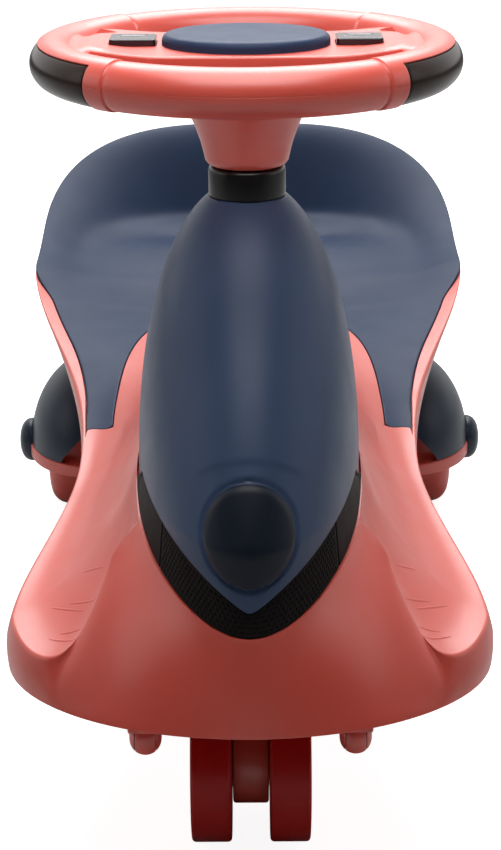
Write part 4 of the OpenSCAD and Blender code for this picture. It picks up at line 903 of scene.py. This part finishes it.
def soften(width, *solids):
    """Takes the sharp edges off solids that keep their CAD shape."""
    for node in solids:
        weld = node.modifiers.new("joined", "WELD")
        weld.merge_threshold = 1e-5
        edges = node.modifiers.new("soft_edges", "BEVEL")
        edges.width, edges.segments, edges.angle_limit = width / 1000, 3, radians(35)
        edges.limit_method, edges.harden_normals = "ANGLE", False
        edges.use_clamp_overlap = True


def lathe_about_column(loop, sides):
    """A closed loop of radius and height turned about the steering column."""
    turns = [360 * i / sides for i in range(sides)]
    points = [(r * cosd(a), steer_y + r * sind(a), z) for a in turns for r, z in loop]
    return np.array(points), ring_faces(sides, len(loop))


collar_r, collar_foot, collar_head, shaft_bore = neck_half, neck_h + 0.3, neck_h + 16.5, 10.05
plug_r, plug_foot = 13.0, neck_h - 16
collar_loop = [(shaft_bore, plug_foot), (plug_r, plug_foot), (plug_r, collar_foot),
               (collar_r - 0.5, collar_foot), (collar_r, collar_foot + 0.5),
               (collar_r, collar_head - 2.2), (collar_r - 0.25, collar_head - 1.2),
               (collar_r - 0.9, collar_head - 0.4), (collar_r - 1.9, collar_head), (shaft_bore, collar_head)]
collar_plastic = moulded("collar_plastic", light(17, 16, 19), light(14, 13, 16), light(62, 60, 62), 0.3, 0.08)
collar = mesh_object("column_ring", *lathe_about_column(collar_loop, 128), collar_plastic, "chassis",
                     "black_plastic", 30)
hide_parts("column_collar")
nylon = moulded("nylon", light(226, 223, 214), light(216, 212, 202), light(240, 238, 232), 0.45, 0.1)
dress(black_plastic, "column_sleeve")
dress(nylon, "lower_bush")


# Rear axle: a coral carrier moulded as a beam with a frame round each wheel, screwed under
# the body, and a plain steel axle through it with a nut on each end.
def plain_metal(name, colour, roughness):
    """Drawn steel: fine scratches and a little tarnish."""
    material = bpy.data.materials.new(name)
    material.use_nodes = True
    shader = material.node_tree.nodes["Principled BSDF"]
    value = Tone(material.node_tree)
    place = value.node("ShaderNodeTexCoord", {}, {}, "Object")
    scratch = value.node("ShaderNodeTexNoise", {}, {"Vector": place, "Scale": 900.0, "Detail": 4.0})
    tarnish = value.node("ShaderNodeTexNoise", {}, {"Vector": place, "Scale": 60.0, "Detail": 3.0})
    dull = (*[0.7 * c for c in colour[:3]], 1)
    tarnish.between(0.35, 0.75).tint(colour, dull).into(shader, "Base Color")
    (scratch * 0.15 + tarnish * 0.15 + (roughness - 0.15)).into(shader, "Roughness")
    bump = value.node("ShaderNodeBump", {}, {"Height": scratch, "Strength": 0.1, "Distance": 0.0002})
    bump.into(shader, "Normal")
    shader.inputs["Metallic"].default_value = 1.0
    return material


def boxed(x, y, half_w, half_d, corner):
    """Outline of a rectangle with round corners."""
    points = []
    for cx, cy, start in ((1, 1, 0), (-1, 1, 90), (-1, -1, 180), (1, -1, 270)):
        points += [(x + cx * (half_w - corner) + corner * cosd(start + b),
                    y + cy * (half_d - corner) + corner * sind(start + b)) for b in steps(0, 90, 5)]
    return points


def block(x, y, half_w, half_d, low, high, soft):
    """A box with round edges, as points and faces."""
    levels = [(soft, low), (0.3 * soft, low + 0.3 * soft), (0, low + soft),
              (0, high - soft), (0.3 * soft, high - 0.3 * soft), (soft, high)]
    sections = []
    for inset, z in levels:
        outline = boxed(x, y, half_w - inset, half_d - inset, max(soft * 1.5 - inset, 0.2))
        sections.append(np.array([(*p, z) for p in outline]))
    return capped(sections)


def joined(*meshes, place=(0, 0, 0)):
    """Points and faces of several meshes as one, moved to their place."""
    points, faces = [], []
    for more_points, more_faces in meshes:
        base = sum(len(p) for p in points)
        points.append(np.asarray(more_points))
        faces += [tuple(base + i for i in f) for f in more_faces]
    return np.concatenate(points) + np.array(place), faces


axle_y, axle_h = 195.0, 50.0
fender_x, fender_w, fender_r, fender_flat_r = 118.0, 49.2, 69.0, 19.0
flat_turn = acos(fender_flat_r / fender_r) * 180 / pi
plate_x, plate_w, plate_half, frame_low, frame_high, frame_w = 106.0, 6.0, 38.0, 43.0, 52.0, 7.0
lug_r, lug_bore, outer_lug_x, outer_lug_w = 13.0, 5.05, 160.6, 5.0
beam_half, beam_foot, frame_out = 16.0, 63.0, 1.2


def frame_path(out):
    """Plan of the frame's outer edge moved out: along the fender's foot from the front to the back."""
    line = [(plate_x, fender_r + out)]
    for a in steps(0, flat_turn, 24):
        line.append((fender_x + (fender_w + out) * sind(a) / sind(flat_turn), (fender_r + out) * cosd(a)))
    return line + [(x, -d) for x, d in line[::-1]]


def frame_ring(side):
    outside, inside = frame_path(frame_out), frame_path(frame_out - frame_w)
    rows = []
    for (xo, yo), (xi, yi) in zip(outside, inside):
        parts = [[(xi, yi, frame_low), (xo, yo, frame_low)], [(xo, yo, frame_low), (xo, yo, frame_high)],
                 [(xo, yo, frame_high), (xi, yi, frame_high)], [(xi, yi, frame_high), (xi, yi, frame_low)]]
        rows.append(rounded(parts, [2, 2, 2, 2], [1.2, 1.2, 0.5], 4)[:-1] * [side, 1, 1] + [0, axle_y, 0])
    return capped(rows)


def on_axle(loop, sides, start, side, closed=True):
    """A loop of radius and distance out from a start, turned about an axle across the car."""
    x, y, z = start
    turns = [360 * i / sides for i in range(sides)]
    points = [(side * (x + h), y + r * cosd(a), z + r * sind(a)) for a in turns for r, h in loop]
    return points, ring_faces(sides, len(loop), closed=closed)


def lug(side, x, width):
    loop = [(lug_bore, 0.0), (lug_r - 0.6, 0.0), (lug_r, 0.6), (lug_r, width - 0.6), (lug_r - 0.6, width),
            (lug_bore, width)]
    return on_axle(loop, 72, (x, axle_y, axle_h), side)


carrier_meshes = [block(0, axle_y, plate_x, beam_half, beam_foot, skirt_h, 1.5)]
for side in (-1, 1):
    carrier_meshes += [frame_ring(side), lug(side, outer_lug_x, outer_lug_w), lug(side, plate_x, plate_w),
                       block(side * (plate_x + plate_w / 2), axle_y, plate_w / 2, plate_half, frame_low,
                             skirt_h, 1.2)]
carrier = mesh_object("carrier_moulding", *joined(*carrier_meshes), coral_plastic, "chassis", "coral_plastic")
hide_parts("axle_carrier")
steel = plain_metal("steel", light(190, 192, 196), 0.35)
dress(steel, "rear_axle", "rear_nuts")
soften(0.4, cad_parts["rear_nuts"])


# Rear wheels: coral rims with wide round shoulders, on hubs with two nylon bushes each.
dress(coral_plastic, "rear_tyre_left", "rear_tyre_right", "rear_hub_left", "rear_hub_right")
dress(nylon, "rear_bushes_left", "rear_bushes_right")


# Fenders: a navy half dome over each rear wheel, clipped to the carrier's frame, with an
# arch cut into its inner side and a round cap over the axle's nut.
fender_wall, fender_foot, fender_hole = 3.0, 52.3, 5.3
flank_foot, flank_lean = 110.3, 0.539
arch_deep, arch_angle = 24.0, 34.0
cap_r, cap_proud, cap_gap, cap_bore, cap_deep = 16.8, 11.3, 0.3, 8.4, 8.4


def fender_inner_x(turn, z):
    """Inner edge of the dome: it clears the leaning body and opens into the arch low down."""
    low = min(turn, 180 - turn)
    arch = arch_deep * (1 - smooth(low / arch_angle)) ** 1.2
    return max(fender_x + arch, flank_foot + (z - skirt_h) * flank_lean)


def fender_line(turn, wall):
    """From the inner edge over the dome to its flat and in to the axle, at one turn about it."""
    start = 0.0
    for _ in range(12):
        z = axle_h + (fender_r - wall) * cosd(start) * sind(turn)
        reach = (fender_inner_x(turn, z) - fender_x) * sind(flat_turn) / (fender_w - wall)
        start = mix(start, np.degrees(np.arcsin(clamp(reach))), 0.7)
    line = []
    for a in steps(start, flat_turn, 40):
        line.append(((fender_r - wall) * cosd(a), fender_x + (fender_w - wall) * sind(a) / sind(flat_turn)))
    return line + [(r, fender_x + fender_w - wall) for r in (16, 12, 8, fender_hole)]


cap_loop = [(0.0, cap_proud)]
for t in steps(0, 90, 20)[1:-1]:
    cap_loop.append((cap_r * sind(t) ** 0.85, cap_gap + (cap_proud - cap_gap) * cosd(t) ** 0.75))
cap_loop += [(cap_r, cap_gap + 0.4), (cap_r - 0.4, cap_gap), (cap_bore, cap_gap), (cap_bore, cap_deep),
             (0.0, cap_deep)]
fender_low = np.degrees(np.arcsin((fender_foot - axle_h) / fender_r))
fender_turns = steps(fender_low, 180 - fender_low, 120)
fender_plastic = moulded("fender_plastic", light(44, 54, 68), light(39, 49, 62), light(88, 98, 114),
                         0.36, 0.1, 0.3)
for side, hand in ((-1, "left"), (1, "right")):
    fender_lines = []
    for turn in fender_turns:
        outside, inside = fender_line(turn, 0.0), fender_line(turn, fender_wall)
        line = [(side * x, axle_y - r * cosd(turn), max(fender_foot, axle_h + r * sind(turn)))
                for r, x in outside + inside[::-1]]
        fender_lines.append(np.array(line))
    fender = mesh_object("fender_dome_" + hand, *capped(fender_lines), fender_plastic, "chassis",
                         "navy_plastic")
    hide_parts("fender_" + hand)
    cap_mesh = on_axle(cap_loop, 96, (fender_x + fender_w, axle_y, axle_h), side, closed=False)
    cap = mesh_object("axle_button_" + hand, *cap_mesh, fender_plastic, "chassis", "navy_plastic", 50)
    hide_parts("axle_cap_" + hand)


# Bumper rollers: a small crowned coral roller on a steel pin at each side, in a bracket of
# two round cheeks that hangs under the bumper's edge.
roller_x, roller_y, roller_h = 55.0, -370.0, 86.5
cheek_in, cheek_out, crown_r, crown_drop = 5.65, 8.38, 8.4, 2.6
web_ahead, web_half, web_foot = 12.0, 5.5, 95.0
for side, hand in ((-1, "left"), (1, "right")):
    yoke_meshes = [block(0, roller_y - web_ahead, cheek_out, web_half, web_foot, skirt_h, 1.0)]
    for cheek in (-1, 1):
        cheek_rows = []
        for x in [mix(cheek_in, cheek_out, sind(b)) for b in steps(0, 90, 8)]:
            r = crown_drop + sqrt(crown_r ** 2 - x ** 2)
            line = [(cheek * x, roller_y + r, skirt_h), (cheek * x, roller_y - r, skirt_h)]
            line += [(cheek * x, roller_y - r * cosd(b), roller_h - r * sind(b)) for b in steps(0, 180, 24)]
            cheek_rows.append(line)
        yoke_meshes.append(capped(cheek_rows))
    yoke = mesh_object("roller_yoke_" + hand, *joined(*yoke_meshes, place=(side * roller_x, 0, 0)),
                       coral_plastic, "chassis", "coral_plastic")
    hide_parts("roller_bracket_" + hand)
dress(coral_plastic, "roller_left", "roller_right")
dress(steel, "roller_pins")


# Steering column and caster: a steel tube from the wheel down to a coral fork, clamped by
# a bolt at each end. The fork's arm has three ribs and carries the axle in a wide round boss.
dress(steel, "steering_shaft", "wheel_bolt", "fork_bolt", "front_axle")
dress(black_plastic, "front_caps")
caster_y, front_axle_h, boss_r, boss_in_r, boss_half = -320.0, 47.0, 26.0, 17.1, 9.8
boss_side = [(boss_in_r, boss_half), (boss_r - 1.5, boss_half), (boss_r - 0.4, boss_half - 0.4),
             (boss_r, boss_half - 1.5)]
boss_loop = [(r, -h) for r, h in boss_side] + boss_side[::-1]
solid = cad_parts["caster_fork"]
fork_points = [tuple(1000 * (solid.matrix_world @ v.co)) for v in solid.data.vertices]
fork_faces = [tuple(f.vertices) for f in solid.data.polygons]
boss = on_axle(boss_loop, 120, (0, caster_y, front_axle_h), 1)
fork = mesh_object("fork_moulding", *joined((fork_points, fork_faces), boss), coral_plastic, "steering",
                   "coral_plastic", 35)
soften(0.9, fork)
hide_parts("caster_fork")


# Front wheels: a dark red tyre with a flat tread and a small round at each edge, on a
# coral hub with two nylon bushes, one wheel on each side of the fork.
tyre_r, tyre_in_r, tyre_inner_x, tyre_w, tyre_round = 47.0, 32.0, 10.4, 22.0, 2.6
tyre_corners = [(tyre_in_r, 0.0, 0), (tyre_r, 0.0, 0), (tyre_r, tyre_w, 0), (tyre_in_r, tyre_w, 0)]
tyre_parts = [[tyre_corners[i], tyre_corners[(i + 1) % 4]] for i in range(4)]
tyre_loop = rounded(tyre_parts, [6, 12, 6, 2], [tyre_round, tyre_round, 0.4], 7)[:-1]
wall_dish = 0.9
tyre_loop = [(r, h + (wall_dish if h < tyre_w / 2 else -wall_dish) * smooth((tyre_r - 4 - r) / 3))
             for r, h, _ in tyre_loop]
tread = moulded("dark_red_tread", light(176, 20, 12), light(164, 17, 10), light(150, 62, 56),
                0.36, 0.15, 0.25)
for side, hand in ((-1, "left"), (1, "right")):
    tyre_mesh = on_axle(tyre_loop, 144, (tyre_inner_x, caster_y, front_axle_h), side)
    tyre = mesh_object("front_tread_" + hand, *tyre_mesh, tread, "front_wheel_" + hand, "dark_red_tread", 30)
    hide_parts("front_tyre_" + hand)
dress(coral_plastic, "front_hub_left", "front_hub_right")
dress(nylon, "front_bushes_left", "front_bushes_right")


# Steering wheel shells: two coral mouldings that meet at the rim's middle, screwed together
# from below. The rim is thicker at the sides, where it has pockets for the grips, and the
# hub's oblong plate climbs into the rim on both sides.
wheel_h = 416.0
wheel_place = (0, steer_y, wheel_h)
ring_r, rim_r, slim_r, core_r, bore_r = 103.0, 13.3, 12.7, 10.0, 7.4
pocket_end, pocket_low, pocket_high = 45.0, -111.5, 51.5
groove_at, back_shift, groove_steps = 51.25, 3.8, [-0.65, -0.25, 0, 0.2, 0.45, 0.85]
hub_half_w, tub_half_w, hub_half_d, hub_power = 101.5, 97.0, 43.0, 4
hub_top, hub_rise, hub_blend, hub_foot, shell_wall = 8.0, 3.0, 6.0, 15.0, 2.5
rise_from, rise_run, crest_from, crest_run = 60, 34, 94, 7
button_x, button_w, button_d, button_back = 60.5, 25.0, 21.0, 3.0
rim_offs = [1.6 * i for i in range(28)] + [pocket_end + d for d in (-0.1, 0.05, 0.3, 0.7, 1.2)]
rim_offs += [groove_at - back_shift + d for d in groove_steps] + [49.6]
rim_offs += [groove_at + d for d in groove_steps] + [53.5 + 1.825 * i for i in range(21)]
rim_angles = rim_offs + [180 - o for o in rim_offs[-2::-1]]
rim_angles += [180 + o for o in rim_offs[1:]] + [360 - o for o in rim_offs[-2:0:-1]]


def off_side(angle):
    """Angle from the nearer side of the wheel."""
    return abs((angle + 90) % 180 - 90)


def rim_radius(off, back):
    """Radius of the rim's section, which thins at a groove that lies nearer the side at the back."""
    radii = [rim_r, rim_r - 0.1, rim_r - 0.9, slim_r - 0.6, slim_r - 0.4, slim_r]
    return float(np.interp(off + back_shift * back - groove_at, groove_steps, radii))


def pocket_radius(off, outer_r):
    """Radius of the grip's pocket, which climbs to the rim's own radius at its end."""
    radii = [core_r, outer_r - 0.5, outer_r - 0.12, outer_r]
    return float(np.interp(off - pocket_end, [-0.05, 0.05, 0.3, 0.7], radii))


def arc(r, low, high, count):
    """Arc of the rim's section: 0 points outwards and 90 up."""
    return [np.array([ring_r + r * cosd(a), 0, r * sind(a)]) for a in steps(low, high, count)]


def rim_section(off, back, upper):
    """Closed section of one half of the rim's tube, with the grip's pocket where there is one."""
    r = rim_radius(off, back)
    p = pocket_radius(off, r)
    inside, turn, outside = (180, pocket_high, 0) if upper else (-180, pocket_low, 0)
    over, floor_arc = arc(r, inside, turn, 30), arc(p, turn, outside, 20)
    lining = arc(bore_r, outside, inside, 20)
    parts = [[lining[-1], over[0]], over, [over[-1], floor_arc[0]], floor_arc,
             [floor_arc[-1], lining[0]], lining]
    return rounded(parts, [2, 30, 2, 20, 2, 12], [0.3, 0.5, 0.1, 0.3, 0.1], 4)[:-1]


def round_the_wheel(section, angle):
    """A section turned about the wheel's middle."""
    return section @ np.array([[cosd(angle), sind(angle), 0], [-sind(angle), cosd(angle), 0], [0, 0, 1]])


def swept_rim(upper):
    rows = []
    for angle in rim_angles:
        rows.append(round_the_wheel(rim_section(off_side(angle), 0 < angle < 180, upper), angle))
    return np.concatenate(rows), ring_faces(len(rows), len(rows[0]))


def hub_reach(half_w, turn):
    """How far the hub's plate, a rounded oblong, reaches at one bearing, and the way there."""
    way = np.array([cosd(turn), sind(turn)])
    return float((np.abs(way / [half_w, hub_half_d]) ** hub_power).sum() ** (-1 / hub_power)), way


def hub_height(x, y):
    """Top of the hub's plate, which climbs into the crest of the rim."""
    out = hypot(x, y)
    level = hub_top + hub_rise * smooth((out - rise_from) / rise_run)
    crest = sqrt(max(0.0, rim_r ** 2 - (out - ring_r) ** 2))
    soft = hub_blend * (1 - smooth((out - crest_from) / crest_run)) + 0.01
    lift = max(soft - abs(level - crest), 0) / soft
    return max(level, crest) + lift * lift * soft / 4


sink_from, edge_round, plate_under, tub_round = 89.5, 1.6, 4.5, 4.0
plate_rows, tub_rows = [], []
for turn in [2.5 * i for i in range(144)]:
    reach, way = hub_reach(hub_half_w, turn)
    row = []
    sunk = smooth((reach - sink_from) / 3)
    for t in steps(0, 1, 26):
        x, y = way * (reach - edge_round) * t
        crest = sqrt(max(0.0, slim_r ** 2 - (hypot(x, y) - ring_r) ** 2))
        row.append((x, y, mix(hub_height(x, y), crest, sunk * smooth((t - 0.84) / 0.16))))
    top = row[-1][2]
    edge = [(0.9, top - 0.12), (0.35, top - 0.5), (0.08, top - 0.95), (0, top - edge_round)]
    edge += [(0, 0.6), (0.15, 0.15), (0.6, 0), (shell_wall, 0), (shell_wall, plate_under)]
    row += [(*(way * (reach - inset)), z) for inset, z in edge]
    plate_rows.append(np.array(row + [(0, 0, plate_under)]))
    reach, way = hub_reach(tub_half_w, turn)
    edge = [(shell_wall, shell_wall - hub_foot), (shell_wall, 0), (0.6, 0), (0.15, -0.15), (0, -0.6)]
    edge += [(tub_round * (1 - cosd(b)), tub_round * (1 - sind(b)) - hub_foot) for b in steps(0, 90, 6)]
    row = [(*(way * (reach - inset)), z) for inset, z in edge]
    tub_rows.append(np.array([(0, 0, shell_wall - hub_foot)] + row + [(0, 0, -hub_foot)]))
tube_r, cone_foot, cone_head = 10.0, -56.9, -14.5
cone_side = [(20.4, cone_foot), (22.6, -54.6), (23.4, -51.0), (25.0, -44.5), (28.2, -35.4), (31.5, -28.0),
             (36.0, -21.0), (41.5, cone_head)]
cone_parts = [[(tube_r, -42.0), (tube_r, cone_foot)], [(tube_r, cone_foot), cone_side[0]], cone_side,
              [cone_side[-1], (tube_r, cone_head)], [(tube_r, cone_head), (tube_r, -42.0)]]
cone_parts = [[(r, 0, z) for r, z in part] for part in cone_parts]
cone_loop = rounded(cone_parts, [2, 4, 24, 3, 3], [0.5, 1.6, 0.5, 0.2], 5)[:-1]
cone_rows = [round_the_wheel(cone_loop, 360 * i / 128) for i in range(128)]
wheel_cone = (np.concatenate(cone_rows), ring_faces(128, len(cone_loop)))


def cut_out(piece, *cutters):
    """Cuts blocks, given by their outline and two heights about the wheel's middle, out of a piece."""
    for outline, low, high in cutters:
        n = len(outline)
        mesh = bpy.data.meshes.new("cutter")
        points = [(x / 1000, (y + steer_y) / 1000, (z + wheel_h) / 1000)
                  for z in (low, high) for x, y in outline]
        sides = [(i, (i + 1) % n, n + (i + 1) % n, n + i) for i in range(n)]
        mesh.from_pydata(points, [], [tuple(range(n))[::-1], tuple(range(n, 2 * n))] + sides)
        tool = bpy.data.objects.new("cutter", mesh)
        scene.collection.objects.link(tool)
        cut = piece.modifiers.new("opening", "BOOLEAN")
        cut.operation, cut.object, cut.solver = "DIFFERENCE", tool, "EXACT"
        cut_piece = piece.evaluated_get(bpy.context.evaluated_depsgraph_get())
        shape = bpy.data.meshes.new_from_object(cut_piece)
        piece.modifiers.remove(cut)
        piece.data = shape
        bpy.data.objects.remove(tool)


wheel_plate = (np.concatenate(plate_rows), ring_faces(len(plate_rows), len(plate_rows[0]), closed=False))
wheel_tub = (np.concatenate(tub_rows), ring_faces(len(tub_rows), len(tub_rows[0]), closed=False))
upper = mesh_object("wheel_top_shell", *joined(swept_rim(True), wheel_plate, place=wheel_place),
                    coral_plastic, "steering", "coral_plastic", 35)
key_gap, hole_corner = 0.4, 2.4
hole_half = (button_w / 2 + key_gap, button_d / 2 + key_gap)
for side in (-1, 1):
    cut_out(upper, (boxed(side * button_x, button_back, *hole_half, hole_corner), -1.0, 20.0))
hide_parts("wheel_upper")
lower = mesh_object("wheel_under_shell", *joined(swept_rim(False), wheel_tub, wheel_cone, place=wheel_place),
                    coral_plastic, "steering", "coral_plastic", 35)
door_x, door_half_w, door_half_d = 60.5, 13.0, 20.0
cut_out(lower, (boxed(door_x, 0, door_half_w, door_half_d, 0.5), -16.0, -11.0))
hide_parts("wheel_lower")


# Grips: two glossy brown-black mouldings, each lying in a pocket on the rim's outer side a
# little below the coral, snapped in when the two shells close.
grip_r, grip_in_r, grip_low, grip_high = 12.6, 10.15, -110.0, 50.0
grip_plastic = moulded("grip_plastic", light(44, 30, 24), light(36, 25, 20), light(60, 48, 42),
                       0.24, 0.03, 0.2)
end_offs, end_round, end_shrink = [44.0, 44.4, 44.6, 44.7], 0.7, 0.6
grip_offs = [-o for o in end_offs[::-1]] + steps(-43, 43, 46) + end_offs
for side, hand in ((-1, "left"), (1, "right")):
    grip_rows = []
    for off in grip_offs:
        past = max(0.0, abs(off) - end_offs[0]) / end_round
        shrink = end_shrink * (1 - sqrt(max(0.0, 1 - past ** 2)))
        over, under = arc(grip_r - shrink, grip_low, grip_high, 40), arc(grip_in_r, grip_high, grip_low, 20)
        parts = [over, [over[-1], under[0]], under, [under[-1], over[0]]]
        section = rounded(parts, [40, 2, 20, 2], [0.5, 0.2, 0.2], 4)[:-1]
        grip_rows.append(round_the_wheel(section, off + (0 if side > 0 else 180)))
    grip = mesh_object("hand_grip_" + hand, *joined(capped(grip_rows), place=wheel_place), grip_plastic,
                       "steering", "black_plastic")
    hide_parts("grip_" + hand)


# Hub pad: an oval navy cushion of moulded plastic with a flat top and a fully rounded edge,
# clipped into the upper shell over the speaker.
pad_half_w, pad_half_d, pad_foot, pad_flat, pad_top = 45.0, 37.0, 6.0, 9.0, 14.38
pad_profile = [(0.0, pad_foot), (0.0, 10.2), (0.12, 11.2), (0.5, 12.2), (1.15, 13.0), (2.1, 13.6),
               (3.4, 14.0), (5.5, 14.25), (pad_flat, pad_top)]
pad_rows = []
for turn in [360 * i / 128 for i in range(128)]:
    way = np.array([cosd(turn), sind(turn)])
    row = [(*(way * [pad_half_w - inset, pad_half_d - inset]), z) for inset, z in pad_profile]
    flat_edge = np.array(row[-1][:2])
    row += [(*(flat_edge * t), pad_top + 0.1 * (1 - t * t)) for t in (0.75, 0.5, 0.25, 0)]
    pad_rows.append(np.array([(0, 0, pad_foot)] + row))
pad_mesh = (np.concatenate(pad_rows), ring_faces(128, len(pad_rows[0]), closed=False))
pad = mesh_object("hub_cushion", *joined(pad_mesh, place=wheel_place), seat_plastic, "steering",
                  "navy_plastic")
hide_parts("hub_pad")


# Sound buttons: two black keys beside the pad, each with rounded edges and a shallow oval
# dish for the thumb. They hang by a flange under the shell and press down on the board.
button_top, button_foot, dish_h, key_round, key_corner = 11.7, 1.7, 11.55, 1.0, 2.0
flange, flange_h, dish = np.array([1.12, 1.14]), 1.5, np.array([8.6, 6.4])
key_half = np.array([button_w / 2, button_d / 2])
key_plastic = moulded("key_plastic", light(34, 26, 34), light(29, 22, 29), light(84, 76, 84), 0.16, 0.04)
for side, hand in ((-1, "left"), (1, "right")):
    key_rows = []
    for away in np.array(boxed(0, 0, *key_half, key_corner)):
        tight = away * (1 - key_round / key_half)
        row = [(*(away * flange), button_foot), (*(away * flange), button_foot + flange_h),
               (*away, button_foot + flange_h)]
        for b in steps(0, 90, 5):
            row.append((*mix(away, tight, 1 - cosd(b)), button_top + key_round * (sind(b) - 1)))
        oval = dish * (away / key_half) / np.hypot(*(away / key_half))
        row += [(*mix(tight, oval, 0.6), button_top), (*oval, button_top), (*(oval * 0.95), dish_h)]
        row += [(*(oval * t), dish_h - 0.35 * (1 - t * t)) for t in (0.85, 0.6, 0.3, 0)]
        key_rows.append(np.array(row) + [side * button_x, button_back, 0])
    columns = len(key_rows[0])
    key_faces = ring_faces(len(key_rows), columns, closed=False)
    key_faces.append([i * columns for i in range(len(key_rows))])
    key_mesh = joined((np.concatenate(key_rows), key_faces), place=wheel_place)
    key = mesh_object("sound_key_" + hand, *key_mesh, key_plastic, "sound_button_" + hand, "black_plastic")
    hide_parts("button_" + hand)


# Sound unit: a green board with a paper-cone speaker, two steel-cased cells behind a coral
# door, and the four screws that hold the shells, all inside the wheel's hub.
board = moulded("circuit_board", light(40, 92, 60), light(34, 80, 52), light(90, 130, 100), 0.4, 0.1)
dress(board, "sound_board")
dress(black_plastic, "speaker")
dress(steel, "battery_cells", "wheel_screws")
dress(coral_plastic, "battery_door")
soften(0.4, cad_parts["battery_door"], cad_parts["wheel_screws"])
